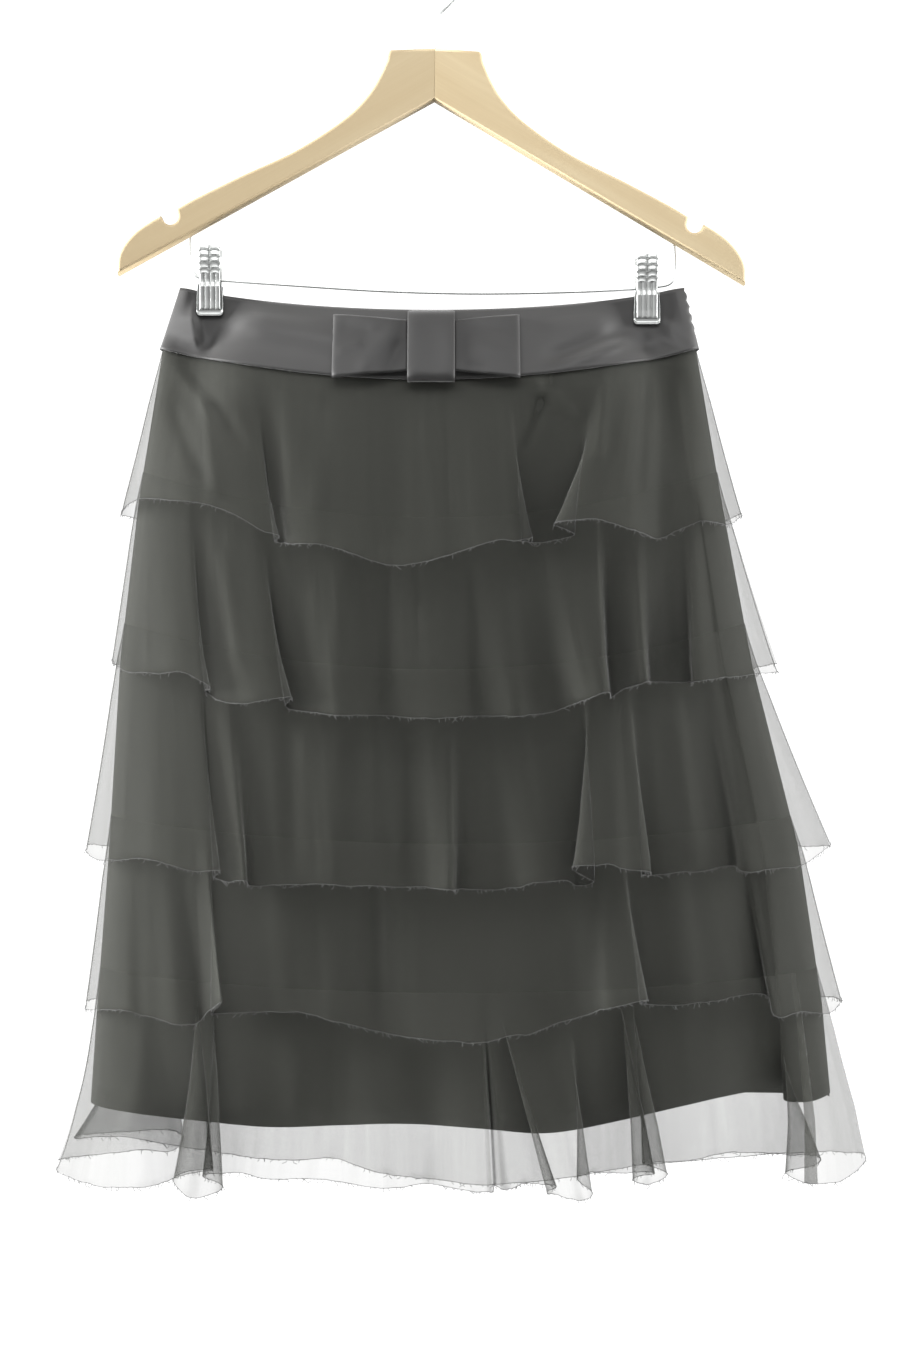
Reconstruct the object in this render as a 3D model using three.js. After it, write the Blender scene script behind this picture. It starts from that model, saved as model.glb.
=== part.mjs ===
// A tiered organza skirt on a wooden clip hanger, in millimetres.
//
// +X is to the right as the skirt is looked at from the front, +Y is towards its back and +Z is up.
// The origin is the top of the inside of the hanger's hook, where a rail would carry it.
//
// Every cloth piece is a wall. Its outer points lie on rings round the skirt: an angle of 0 is the left
// side, 90 degrees the centre front, 180 the right side and 270 the centre back.

import * as THREE from "three";

// ---------------------------------------------------------------- sizes

const SEAM_GAP = 0.3; // between pieces that are sewn or pressed together
const ORGANZA = 1.0; // wall of the flounces and of the under-skirt
const SATIN = 1.2; // wall of the waistband and of the bow
const SEWN = SEAM_GAP + ORGANZA; // outer face of a flounce above the under-skirt, at its seam
const UNDER = -0.9; // the under-skirt lies this far inside the surface that the flounces are set on
const SIDE = SEAM_GAP / 2; // front and back panels stop this far from the plane between them

// The under-skirt: its two side edges, and how far its front and back stand from the plane Y = 0.
const BODY_LEVELS = [
  { z: -298, left: -194, right: 186, front: 34, back: 30 },
  { z: -405, left: -211, right: 204, front: 38, back: 34 },
  { z: -518, left: -224, right: 225, front: 43, back: 38 },
  { z: -653, left: -232, right: 259, front: 48, back: 40 },
  { z: -760, left: -240, right: 275, front: 52, back: 41 },
  { z: -835, left: -245, right: 282, front: 54, back: 40 },
];
const FULLNESS = 0.8; // power of the sine that rounds the rings: under 1 is fuller than an ellipse
const SIDE_TURN = 8; // a panel's gap reaches its full size where the sine times this is 1

// The two seams that go all round, as the height at the sides and how much lower the middle hangs.
const WAIST_TOP = { side: -254, sag: 18 };
const WAIST_SEAM = { side: -298, sag: 26 };
const WAIST_EDGE = { left: -181, right: 177 }; // the waistband's top corners
const WAIST_TURN = { sine: 0.28, power: 0.7 }; // how soon the top edge leaves the plane Y = 0 at a side

// The clips pinch the waistband flat at these places across the half ring, from -1 to 1.
const PINCH = {
  left: -0.883,
  right: 0.849,
  halfJaw: 0.056,
  flat: SIDE + SATIN, // outer face of the cloth between the jaws
  bulge: 13, // how much further the waistband bows out between the clips
  bulgePower: 1.2,
  loop: 1.6, // and outside them
  reach: 0.12, // width of the hollow that runs down from each clip
  shut: 3, // how much longer the cloth stays flat below a clip than it does elsewhere
  depthAtSeam: 0.5, // share of the depth that the hollow takes at the waist seam
  endsAt: -400,
};

// ---------------------------------------------------------------- the folds of the panels

// Each row is one fold line of a panel, from the left side to the right: where it starts on the seam,
// where it meets the hem, how far it stands out there from the under-skirt, and the hem's height.
// Neighbouring rows whose hem steps back make a fold that lies over the next.

const UNDERSKIRT_FRONT = [
  { seam: -194, hem: -244, out: 0, z: -831 },
  { seam: -176, hem: -222, out: -5, z: -834 },
  { seam: -130, hem: -165, out: -6, z: -838 },
  { seam: -92, hem: -114, out: -1, z: -840 },
  { seam: -60, hem: -72, out: -8, z: -840 },
  { seam: -20, hem: -22, out: -13, z: -839 },
  { seam: 20, hem: 30, out: -7, z: -841 },
  { seam: 58, hem: 76, out: 0, z: -843 },
  { seam: 90, hem: 112, out: -4, z: -839 },
  { seam: 118, hem: 150, out: -8, z: -832 },
  { seam: 144, hem: 196, out: -14, z: -824 },
  { seam: 160, hem: 234, out: -19, z: -820 },
  { seam: 167, hem: 249, out: -19, z: -821 },
  { seam: 171, hem: 244, out: -8, z: -826 },
  { seam: 178, hem: 262, out: -4, z: -828 },
  { seam: 186, hem: 280, out: 0, z: -824 },
];

const FLOUNCE_1_FRONT = [
  { seam: -195, hem: -222.6, out: 0, z: -415 },
  { seam: -189, hem: -208, out: 8, z: -407 },
  { seam: -170, hem: -178, out: 24, z: -409 },
  { seam: -150, hem: -146, out: 28, z: -416 },
  { seam: -136, hem: -118, out: 28, z: -430 },
  { seam: -128, hem: -106, out: 21, z: -435 },
  { seam: -120, hem: -110, out: 9, z: -437 },
  { seam: -113, hem: -104, out: 9, z: -438 },
  { seam: -102, hem: -98, out: 24, z: -440 },
  { seam: -78, hem: -74, out: 30, z: -441 },
  { seam: -31, hem: -27, out: 31, z: -455 },
  { seam: 5, hem: 11, out: 31, z: -448 },
  { seam: 34, hem: 43, out: 29, z: -438 },
  { seam: 43, hem: 64, out: 16, z: -437 },
  { seam: 70, hem: 76, out: 9, z: -438 },
  { seam: 104, hem: 96, out: 13, z: -433 },
  { seam: 124, hem: 81, out: 33, z: -427 },
  { seam: 136, hem: 106, out: 36, z: -424 },
  { seam: 146, hem: 136, out: 32, z: -431 },
  { seam: 156, hem: 154, out: 17, z: -435 },
  { seam: 165, hem: 172, out: 18, z: -428 },
  { seam: 173, hem: 186, out: 22, z: -424 },
  { seam: 182, hem: 204, out: 12, z: -424 },
  { seam: 187, hem: 217.8, out: 0, z: -416 },
];

const FLOUNCE_2_FRONT = [
  { seam: -209, hem: -229.2, out: 0, z: -518 },
  { seam: -204, hem: -216, out: 8, z: -526 },
  { seam: -195, hem: -192, out: 18, z: -528 },
  { seam: -184, hem: -170, out: 24, z: -528 },
  { seam: -172, hem: -153, out: 24, z: -537 },
  { seam: -165, hem: -158, out: 11, z: -541 },
  { seam: -160, hem: -153, out: 9, z: -544 },
  { seam: -154, hem: -146, out: 16, z: -547 },
  { seam: -143, hem: -125, out: 25, z: -548 },
  { seam: -126, hem: -97, out: 25, z: -544 },
  { seam: -115, hem: -102, out: 9, z: -551 },
  { seam: -99, hem: -85, out: 15, z: -555 },
  { seam: -76, hem: -64, out: 26, z: -556 },
  { seam: -38, hem: -32, out: 18, z: -557 },
  { seam: -2, hem: 4, out: 26, z: -558 },
  { seam: 24, hem: 32, out: 18, z: -557 },
  { seam: 42, hem: 57, out: 26, z: -557 },
  { seam: 55, hem: 71, out: 19, z: -555 },
  { seam: 66, hem: 86, out: 17, z: -552 },
  { seam: 78, hem: 104, out: 30, z: -545 },
  { seam: 108, hem: 117, out: 33, z: -541 },
  { seam: 116, hem: 122, out: 10, z: -544 },
  { seam: 124, hem: 129, out: 18, z: -539 },
  { seam: 136, hem: 144, out: 29, z: -534 },
  { seam: 148, hem: 150, out: 12, z: -534 },
  { seam: 168, hem: 175, out: 10, z: -534 },
  { seam: 176, hem: 178, out: 26, z: -534 },
  { seam: 187, hem: 199, out: 22, z: -531 },
  { seam: 196, hem: 222, out: 13, z: -529 },
  { seam: 202, hem: 243, out: 0, z: -526 },
];

const FLOUNCE_3_FRONT = [
  { seam: -222, hem: -247.5, out: 0, z: -652 },
  { seam: -218, hem: -237, out: 4, z: -658 },
  { seam: -210, hem: -218, out: 9, z: -657 },
  { seam: -196, hem: -196, out: 17, z: -656 },
  { seam: -178, hem: -164, out: 22, z: -663 },
  { seam: -166, hem: -146, out: 21, z: -662 },
  { seam: -160, hem: -152, out: 9, z: -668 },
  { seam: -153, hem: -142, out: 14, z: -671 },
  { seam: -145, hem: -128, out: 20, z: -669 },
  { seam: -136, hem: -127, out: 10, z: -673 },
  { seam: -110, hem: -98, out: 14, z: -672 },
  { seam: -82, hem: -71, out: 19, z: -672 },
  { seam: -46, hem: -40, out: 21, z: -673 },
  { seam: -12, hem: -6, out: 16, z: -674 },
  { seam: 6, hem: 11, out: 24, z: -674 },
  { seam: 14, hem: 17, out: 12, z: -675 },
  { seam: 30, hem: 45, out: 14, z: -675 },
  { seam: 40, hem: 65, out: 20, z: -671 },
  { seam: 49, hem: 77, out: 21, z: -669 },
  { seam: 58, hem: 91, out: 13, z: -669 },
  { seam: 80, hem: 99, out: 8, z: -673 },
  { seam: 97, hem: 109, out: 11, z: -671 },
  { seam: 107, hem: 93, out: 26, z: -660 },
  { seam: 114, hem: 115, out: 31, z: -657 },
  { seam: 121, hem: 131, out: 29, z: -660 },
  { seam: 127, hem: 143, out: 23, z: -663 },
  { seam: 138, hem: 150, out: 10, z: -666 },
  { seam: 158, hem: 176, out: 11, z: -664 },
  { seam: 180, hem: 206, out: 8, z: -661 },
  { seam: 187, hem: 211, out: 19, z: -664 },
  { seam: 200, hem: 232, out: 15, z: -663 },
  { seam: 212, hem: 256, out: 9, z: -660 },
  { seam: 221, hem: 280.4, out: 0, z: -648 },
];

const FLOUNCE_4_FRONT = [
  { seam: -232, hem: -248, out: 0, z: -764 },
  { seam: -226, hem: -234, out: 5, z: -763 },
  { seam: -218, hem: -216, out: 13, z: -760 },
  { seam: -209, hem: -204, out: 8, z: -762 },
  { seam: -201, hem: -193, out: 8, z: -764 },
  { seam: -189, hem: -173, out: 17, z: -768 },
  { seam: -177, hem: -160, out: 8, z: -766 },
  { seam: -168, hem: -151, out: 10, z: -763 },
  { seam: -161, hem: -144, out: 21, z: -750 },
  { seam: -152, hem: -141, out: 10, z: -762 },
  { seam: -106, hem: -98, out: 13, z: -759 },
  { seam: -66, hem: -61, out: 16, z: -765 },
  { seam: -38, hem: -34, out: 11, z: -772 },
  { seam: -10, hem: -6, out: 17, z: -775 },
  { seam: 12, hem: 16, out: 20, z: -777 },
  { seam: 26, hem: 31, out: 22, z: -777 },
  { seam: 40, hem: 49, out: 17, z: -774 },
  { seam: 54, hem: 64, out: 15, z: -773 },
  { seam: 74, hem: 82, out: 9, z: -767 },
  { seam: 104, hem: 107, out: 14, z: -758 },
  { seam: 118, hem: 116, out: 28, z: -754 },
  { seam: 123, hem: 144, out: 27, z: -748 },
  { seam: 129, hem: 141, out: 9, z: -754 },
  { seam: 164, hem: 182, out: 9, z: -754 },
  { seam: 188, hem: 209, out: 10, z: -749 },
  { seam: 206, hem: 229, out: 8, z: -750 },
  { seam: 213, hem: 232, out: 19, z: -762 },
  { seam: 229, hem: 254, out: 11, z: -762 },
  { seam: 242, hem: 274, out: 6, z: -764 },
  { seam: 253, hem: 288, out: 0, z: -758 },
];

const FLOUNCE_5_FRONT = [
  { seam: -239, hem: -268, out: 0, z: -878 },
  { seam: -236, hem: -257, out: 5, z: -878 },
  { seam: -231, hem: -240, out: 20, z: -878 },
  { seam: -226, hem: -220, out: 28, z: -878 },
  { seam: -217, hem: -197, out: 26, z: -877 },
  { seam: -206, hem: -181, out: 15, z: -874 },
  { seam: -192, hem: -170, out: 9, z: -870 },
  { seam: -178, hem: -162, out: 10, z: -864 },
  { seam: -158, hem: -177, out: 24, z: -870 },
  { seam: -148, hem: -163, out: 33, z: -881 },
  { seam: -134, hem: -143, out: 21, z: -876 },
  { seam: -120, hem: -154, out: 8, z: -872 },
  { seam: -111, hem: -142, out: 4, z: -871 },
  { seam: -100, hem: -118, out: 4, z: -873 },
  { seam: -76, hem: -75, out: 4, z: -874 },
  { seam: -36, hem: -31, out: 14, z: -877 },
  { seam: -6, hem: -3, out: 6, z: -875 },
  { seam: 20, hem: 24, out: 18, z: -878 },
  { seam: 34, hem: 38, out: 18, z: -878 },
  { seam: 41, hem: 41, out: 6, z: -877 },
  { seam: 47, hem: 47, out: 15, z: -877 },
  { seam: 58, hem: 61, out: 8, z: -875 },
  { seam: 70, hem: 78, out: 22, z: -880 },
  { seam: 80, hem: 99, out: 27, z: -882 },
  { seam: 86, hem: 107, out: 19, z: -879 },
  { seam: 96, hem: 97, out: 8, z: -872 },
  { seam: 104, hem: 106, out: 5, z: -869 },
  { seam: 114, hem: 124, out: 7, z: -868 },
  { seam: 122, hem: 144, out: 9, z: -868 },
  { seam: 131, hem: 135, out: 20, z: -870 },
  { seam: 136, hem: 144, out: 27, z: -872 },
  { seam: 139, hem: 158, out: 18, z: -867 },
  { seam: 148, hem: 150, out: 7, z: -862 },
  { seam: 155, hem: 162, out: 4, z: -862 },
  { seam: 174, hem: 184, out: 4, z: -861 },
  { seam: 191, hem: 214, out: 4, z: -860 },
  { seam: 203, hem: 244, out: 3, z: -860 },
  { seam: 212, hem: 262, out: 6, z: -863 },
  { seam: 227, hem: 256, out: 14, z: -866 },
  { seam: 243, hem: 240, out: 20, z: -868 },
  { seam: 251, hem: 254, out: 27, z: -875 },
  { seam: 258, hem: 275, out: 21, z: -877 },
  { seam: 265, hem: 293, out: 10, z: -874 },
  { seam: 272, hem: 305, out: 0, z: -870 },
];

// The back of every flounce shares one uneven row of folds, from side to side: where each is across the
// half ring, and how far it stands out. Alternate flounces take it the other way round.
const BACK_FOLDS = [
  { at: -1, out: 0 },
  { at: -0.94, out: 8 },
  { at: -0.82, out: 21 },
  { at: -0.7, out: 11 },
  { at: -0.57, out: 24 },
  { at: -0.43, out: 12 },
  { at: -0.27, out: 26 },
  { at: -0.12, out: 13 },
  { at: 0.04, out: 23 },
  { at: 0.2, out: 11 },
  { at: 0.35, out: 27 },
  { at: 0.5, out: 13 },
  { at: 0.64, out: 22 },
  { at: 0.77, out: 10 },
  { at: 0.88, out: 17 },
  { at: 0.95, out: 8 },
  { at: 1, out: 0 },
];

// The five flounces. sag is how much lower the middle of a seam or of the back hem hangs than its sides.
const FLOUNCES = [
  {
    front: FLOUNCE_1_FRONT,
    seam: { side: WAIST_SEAM.side - SEAM_GAP, sag: WAIST_SEAM.sag },
    backHem: { side: -415, sag: 30 },
    backFolds: 0.8,
  },
  { front: FLOUNCE_2_FRONT, seam: { side: -385, sag: 35 }, backHem: { side: -521, sag: 26 }, backFolds: -0.85 },
  { front: FLOUNCE_3_FRONT, seam: { side: -492, sag: 33 }, backHem: { side: -650, sag: 20 }, backFolds: 0.9 },
  { front: FLOUNCE_4_FRONT, seam: { side: -628, sag: 17 }, backHem: { side: -760, sag: 10 }, backFolds: -0.9 },
  { front: FLOUNCE_5_FRONT, seam: { side: -735, sag: 12 }, backHem: { side: -873, sag: 18 }, backFolds: 0.5 },
];
const HALF_RING = 100; // makes the table's two columns alike in size, so that its curve is smooth
const FLARE = 1.35; // the folds grow with this power of the way down a flounce
const UNDERSKIRT_FLARE = 2;
const UNDERSKIRT_BACK = { hem: { side: -828, sag: 6 }, fold: 5, waves: 9, spans: 22 };
const END_STEPS = 4; // columns from each side to the first fold
const FLOUNCE_ROWS = [0, 0.3, 0.55, 0.8, 1];
const BACK_ROWS = [0, 0.4, 0.75, 1];
const UNDERSKIRT_ROWS = [0, 0.12, 0.26, 0.42, 0.58, 0.74, 0.88, 1];
const WAISTBAND_ROWS = [0, 0.35, 0.65, 1];
const WAISTBAND_COLUMNS = 40;

// The bow lies on the waistband. Each row of a loop is a point of its outer face in plan: across the
// skirt, and off the waistband.
const BOW = { gap: 0.4, top: -276, bottom: -323, narrowing: 5, steps: 24, rows: 3, bandColumns: 4 };
const LEFT_LOOP = [
  { x: -18, off: 0.4 },
  { x: -42, off: 0.4 },
  { x: -65, off: 0.5 },
  { x: -70, off: 1.9 },
  { x: -71.3, off: 4 },
  { x: -69.6, off: 6 },
  { x: -62, off: 7.6 },
  { x: -44, off: 8.4 },
  { x: -18, off: 6 },
];
const RIGHT_LOOP = [
  { x: 13, off: 6 },
  { x: 34, off: 8.2 },
  { x: 50, off: 7.5 },
  { x: 57.5, off: 6 },
  { x: 59.3, off: 4 },
  { x: 58, off: 1.9 },
  { x: 53, off: 0.5 },
  { x: 36, off: 0.4 },
  { x: 13, off: 0.4 },
];
const BOW_BAND = { left: -19, right: 14 };
const BOW_BAND_SECTION = [
  { z: -273.5, off: 1.2 },
  { z: -273.5, off: 5 },
  { z: -277, off: 9 },
  { z: -288, off: 10.6 },
  { z: -300, off: 11 },
  { z: -313, off: 10.6 },
  { z: -322.5, off: 9 },
  { z: -326, off: 5 },
  { z: -326, off: 0.4 },
];

// The hanger. Its arms and its hook are measured from the middle of its top edge. Both arms are alike.
const HANGER = { top: -85.4, thickness: 12, bevel: 1.2, tilt: THREE.MathUtils.degToRad(0.9) };
const ARM_BLOCK = { x: 31.5, z: -1.8 }; // top corner of the block in the middle
const ARM_FORK = -36; // where the arms' undersides meet
const ARM_TOP = [
  { x: 34, z: -9 },
  { x: 38.8, z: -20 },
  { x: 46, z: -32.5 },
  { x: 60, z: -48 },
  { x: 96, z: -73 },
  { x: 137, z: -93 },
  { x: 170, z: -110 },
  { x: 181, z: -116.5 },
];
const ARM_SHOULDER = [
  { x: 192, z: -121.5 },
  { x: 200.5, z: -126.5 },
  { x: 210, z: -133.5 },
  { x: 217, z: -141.5 },
  { x: 221.5, z: -150.5 },
  { x: 222.3, z: -163.4 },
];
const NOTCH = { x: 185.6, z: -122, r: 5.6, from: 150, to: 330, step: 36 };
const HOOK = { wire: 2.8, radius: 26, lean: -0.96, from: -45, to: 200, bendStep: 24.5, sides: 8, steps: 36 };
const HOOK_STEM = [
  { x: 0, z: 0.3 },
  { x: 0, z: 12 },
  { x: 0.4, z: 22 },
  { x: 3, z: 26.5 },
  { x: 10, z: 33.6 },
];
const BAR = { wire: 2, sides: 8, steps: 40 };
const BAR_ROUTE = [
  { x: -173.4, z: -217.8 },
  { x: -172.8, z: -236 },
  { x: -170.6, z: -244.4 },
  { x: -165.5, z: -247.4 },
  { x: -150, z: -248.9 },
  { x: -96, z: -252.6 },
  { x: -35, z: -256.4 },
  { x: 30, z: -258 },
  { x: 100, z: -256.8 },
  { x: 142, z: -254.8 },
  { x: 158, z: -253.3 },
  { x: 166.6, z: -251 },
  { x: 169.8, z: -245.6 },
  { x: 169.6, z: -223.6 },
];

// The clips: rows down a jaw, measured from the wire, with the inner face's distance from the middle.
// Its upper part, above the wire, is plain and narrower. Flutes run down the lower part to the lip.
const JAW = {
  wall: 1,
  upperHalfWidth: 7.8,
  lowerHalfWidth: 9,
  columns: 9,
  flute: 0.5,
  flutesFrom: 4,
  flutesTo: -23,
};
const JAW_PROFILE = [
  { up: 22.3, in: 8.6 },
  { up: 17.5, in: 8.2 },
  { up: 12.5, in: 7.2 },
  { up: 8, in: 5.6 },
  { up: 3.5, in: 4.4 },
  { up: -1, in: 4 },
  { up: -6, in: 4.2 },
  { up: -11, in: 3.7 },
  { up: -16.5, in: 3.2 },
  { up: -26, in: 3.1 },
];
const SPRING = { inner: 1.9, outer: 3.6, length: 9, sides: 16 };
const CLIPS = [
  { name: "left", x: -159.4, wire: -248 },
  { name: "right", x: 150, wire: -254.1 },
];

// ---------------------------------------------------------------- materials

function material(color, roughness, metalness = 0) {
  return new THREE.MeshStandardMaterial({ color, roughness, metalness, side: THREE.DoubleSide });
}

const organza = material(0x3f403c, 0.6);
const underskirtCloth = material(0x232322, 0.8);
const satin = material(0x6f6f6d, 0.35);
const wood = material(0xd8c3a4, 0.55);
const steel = material(0xc9ccd0, 0.25, 1);

// ---------------------------------------------------------------- helpers

const { lerp, clamp } = THREE.MathUtils;

/** The values of a table of levels at a height, and past its ends the end rows' values. */
function levelAt(levels, z) {
  const last = levels.length - 1;
  let i = 0;
  while (i < last - 1 && z < levels[i + 1].z) i += 1;
  const a = levels[i];
  const b = levels[i + 1];
  const k = clamp((z - a.z) / (b.z - a.z), 0, 1);
  const row = {};
  for (const key of Object.keys(a)) row[key] = lerp(a[key], b[key], k);
  return row;
}

/** Angle on a half ring of a place across it, from -1 at the left side to 1 at the right. */
function angleAcross(across) {
  return Math.acos(-clamp(across, -1, 1));
}

/** Height of a seam that hangs lower in the middle. */
function seamHeight(seam, angle) {
  return seam.side - seam.sag * Math.sin(angle) ** 2;
}

/** A bump of height 1 at each of the two clips, as wide as reach. */
function nearClip(across, reach) {
  const left = Math.exp(-(((across - PINCH.left) / reach) ** 2));
  const right = Math.exp(-(((across - PINCH.right) / reach) ** 2));
  return left + right;
}

/** How far the under-skirt's outer face is from the plane Y = 0, without its hem folds. */
function bodyDepth(angle, z) {
  const level = levelAt(BODY_LEVELS, z);
  const full = angle <= Math.PI ? level.front : level.back;
  const fade = clamp((z - PINCH.endsAt) / (WAIST_SEAM.side - PINCH.endsAt), 0, 1);
  const hollow = PINCH.depthAtSeam * fade * nearClip(-Math.cos(angle), PINCH.reach);
  return full * Math.abs(Math.sin(angle)) ** FULLNESS * (1 - hollow);
}

/** Where a ring that stands gap outside the under-skirt is, across the skirt. */
function bodyAcross(angle, z, gap) {
  const { left, right } = levelAt(BODY_LEVELS, z);
  return (left + right) / 2 - ((right - left) / 2 + gap) * Math.cos(angle);
}

/** A panel's gap from the under-skirt's surface, which starts from nothing at the sides. */
function risenGap(gap, angle) {
  return gap * Math.min(1, SIDE_TURN * Math.abs(Math.sin(angle)));
}

/** A point at a distance in front of or behind the plane Y = 0, kept on its own side of it. */
function ringPoint(angle, x, depth, z) {
  const distance = Math.max(depth, SIDE);
  return new THREE.Vector3(x, angle <= Math.PI ? -distance : distance, z);
}

/** The direction of a line of points at one of them, halfway between the ways to it and from it. */
function headingAt(before, point, after) {
  const heading = new THREE.Vector3();
  if (before) heading.add(point.clone().sub(before).normalize());
  if (after) heading.add(after.clone().sub(point).normalize());
  return heading;
}

/** The way out of a sheet at a point, halfway between those of the sheet on its left and on its right. */
function outwardAt(down, before, point, after) {
  const out = new THREE.Vector3();
  if (before) out.add(down.clone().cross(point.clone().sub(before)).normalize());
  if (after) out.add(down.clone().cross(after.clone().sub(point)).normalize());
  return out;
}

/**
 * A closed wall from a grid of outer points, rows[j][i] with i across and j down. The wall lies on the
 * side away from (down x across). With halfSpace -1 or 1, it stays on that side of the plane Y = 0.
 * A level wall has its top and bottom edges cut level.
 */
function wall(rows, thickness, halfSpace, level = true) {
  const down = rows.length;
  const across = rows[0].length;
  const position = [];
  const index = [];
  for (const row of rows) for (const p of row) position.push(p.x, p.y, p.z);
  for (let j = 0; j < down; j += 1) {
    for (let i = 0; i < across; i += 1) {
      const point = rows[j][i];
      const alongColumn = headingAt(rows[j - 1]?.[i], point, rows[j + 1]?.[i]);
      const out = outwardAt(alongColumn, rows[j][i - 1], point, rows[j][i + 1]);
      if (halfSpace !== 0 && (i === 0 || i === across - 1)) out.y = 0;
      if (level && (j === 0 || j === down - 1)) out.z = 0;
      const inner = point.clone().addScaledVector(out.normalize(), -thickness);
      if (halfSpace !== 0) inner.y = halfSpace * Math.max(inner.y * halfSpace, SIDE);
      position.push(inner.x, inner.y, inner.z);
    }
  }
  const outer = (i, j) => j * across + i;
  const inner = (i, j) => down * across + outer(i, j);
  const quad = (a, b, c, d) => index.push(a, b, c, a, c, d);
  for (let j = 0; j + 1 < down; j += 1) {
    for (let i = 0; i + 1 < across; i += 1) {
      quad(outer(i, j), outer(i, j + 1), outer(i + 1, j + 1), outer(i + 1, j));
      quad(inner(i, j), inner(i + 1, j), inner(i + 1, j + 1), inner(i, j + 1));
    }
    quad(outer(0, j), inner(0, j), inner(0, j + 1), outer(0, j + 1));
    const end = across - 1;
    quad(outer(end, j), outer(end, j + 1), inner(end, j + 1), inner(end, j));
  }
  for (let i = 0; i + 1 < across; i += 1) {
    quad(outer(i, 0), outer(i + 1, 0), inner(i + 1, 0), inner(i, 0));
    const foot = down - 1;
    quad(outer(i, foot), inner(i, foot), inner(i + 1, foot), outer(i + 1, foot));
  }
  const geometry = new THREE.BufferGeometry();
  geometry.setAttribute("position", new THREE.Float32BufferAttribute(position, 3));
  geometry.setIndex(index);
  geometry.computeVertexNormals();
  return geometry;
}

/** A round wire along a curve. */
function wire(curve, diameter, sides, steps) {
  const section = new THREE.Shape();
  for (let k = 0; k < sides; k += 1) {
    const turn = (2 * Math.PI * k) / sides;
    const x = (Math.cos(turn) * diameter) / 2;
    const y = (Math.sin(turn) * diameter) / 2;
    if (k === 0) section.moveTo(x, y);
    else section.lineTo(x, y);
  }
  section.closePath();
  return new THREE.ExtrudeGeometry(section, { steps, extrudePath: curve, bevelEnabled: false });
}

const skirt = new THREE.Group();
const hanger = new THREE.Group();

function addPiece(group, name, geometry, cloth) {
  const mesh = new THREE.Mesh(geometry, cloth);
  mesh.name = name;
  group.add(mesh);
  return mesh;
}

// ---------------------------------------------------------------- skirt panels

/**
 * Places along a row of folds, 0 at the first and 1 more at each: so many steps from each fold to the
 * next, and more of them towards the two sides, where the ring turns back.
 */
function placesAlong(spans, stepsEach) {
  const places = [];
  for (let k = 0; k < END_STEPS; k += 1) places.push((k / END_STEPS) ** 2);
  for (let k = stepsEach; k <= (spans - 1) * stepsEach; k += 1) places.push(k / stepsEach);
  for (let k = END_STEPS - 1; k >= 0; k -= 1) places.push(spans - (k / END_STEPS) ** 2);
  return places;
}

/**
 * The columns of a front panel: the fold rows, smoothed, with a given number of steps from each to the
 * next. A column has its angle on the seam and at the hem, its stand-off and its hem's height.
 */
function foldColumns(rows, seamRing, hemRing, stepsEach) {
  const hem = new THREE.CatmullRomCurve3(
    rows.map((row) => new THREE.Vector3(row.hem, row.out, row.z)),
    false,
    "centripetal",
  );
  const spans = rows.length - 1;
  const columns = [];
  for (const place of placesAlong(spans, stepsEach)) {
    const row = Math.min(Math.floor(place), spans - 1);
    const seamX = lerp(rows[row].seam, rows[row + 1].seam, place - row);
    const point = hem.getPoint(place / spans);
    columns.push({
      seam: angleAcross((2 * seamX - seamRing.left - seamRing.right) / (seamRing.right - seamRing.left)),
      hem: angleAcross((2 * point.x - hemRing.left - hemRing.right) / (hemRing.right - hemRing.left)),
      out: point.y,
      z: point.z,
    });
  }
  columns[0].seam = 0;
  columns[0].hem = 0;
  columns[0].out = 0;
  Object.assign(columns[columns.length - 1], { seam: Math.PI, hem: Math.PI, out: 0 });
  return columns;
}

/** The columns of a flounce's back panel, from the right side round to the left. */
function backColumns(flounce, stepsEach) {
  const scale = Math.abs(flounce.backFolds) / HALF_RING;
  const folds = BACK_FOLDS.map(({ at, out }) => new THREE.Vector3(at, out * scale, 0));
  const curve = new THREE.CatmullRomCurve3(folds, false, "centripetal");
  const spans = folds.length - 1;
  const columns = [];
  for (const place of placesAlong(spans, stepsEach)) {
    const point = curve.getPoint(flounce.backFolds > 0 ? place / spans : 1 - place / spans);
    const across = flounce.backFolds > 0 ? -point.x : point.x;
    const angle = 2 * Math.PI - angleAcross(across);
    columns.push({ seam: angle, hem: angle, out: point.y * HALF_RING, z: seamHeight(flounce.backHem, angle) });
  }
  Object.assign(columns[0], { seam: Math.PI, hem: Math.PI, out: 0 });
  Object.assign(columns[columns.length - 1], { seam: 2 * Math.PI, hem: 2 * Math.PI, out: 0 });
  return columns;
}

/** The outer points of a panel that hangs from a seam: see foldColumns for its columns. */
function panelRows(columns, seam, hemRing, heights, gap, flare, halfSpace) {
  return heights.map((way) =>
    columns.map((column) => {
      const angle = lerp(column.seam, column.hem, way);
      const z = lerp(seamHeight(seam, column.seam), column.z, way);
      const grown = way ** flare;
      const hemX = (hemRing.left + hemRing.right) / 2 - ((hemRing.right - hemRing.left) / 2) * Math.cos(angle);
      const x = bodyAcross(angle, z, gap) + grown * (hemX - bodyAcross(angle, column.z, gap));
      const turned = halfSpace > 0 && angle <= Math.PI ? Math.PI + 1e-9 : angle;
      return ringPoint(turned, x, bodyDepth(turned, z) + risenGap(gap, turned) + grown * column.out, z);
    }),
  );
}

function seamRingOf(seam, gap) {
  const { left, right } = levelAt(BODY_LEVELS, seam.side);
  return { left: left - gap, right: right + gap };
}

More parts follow.
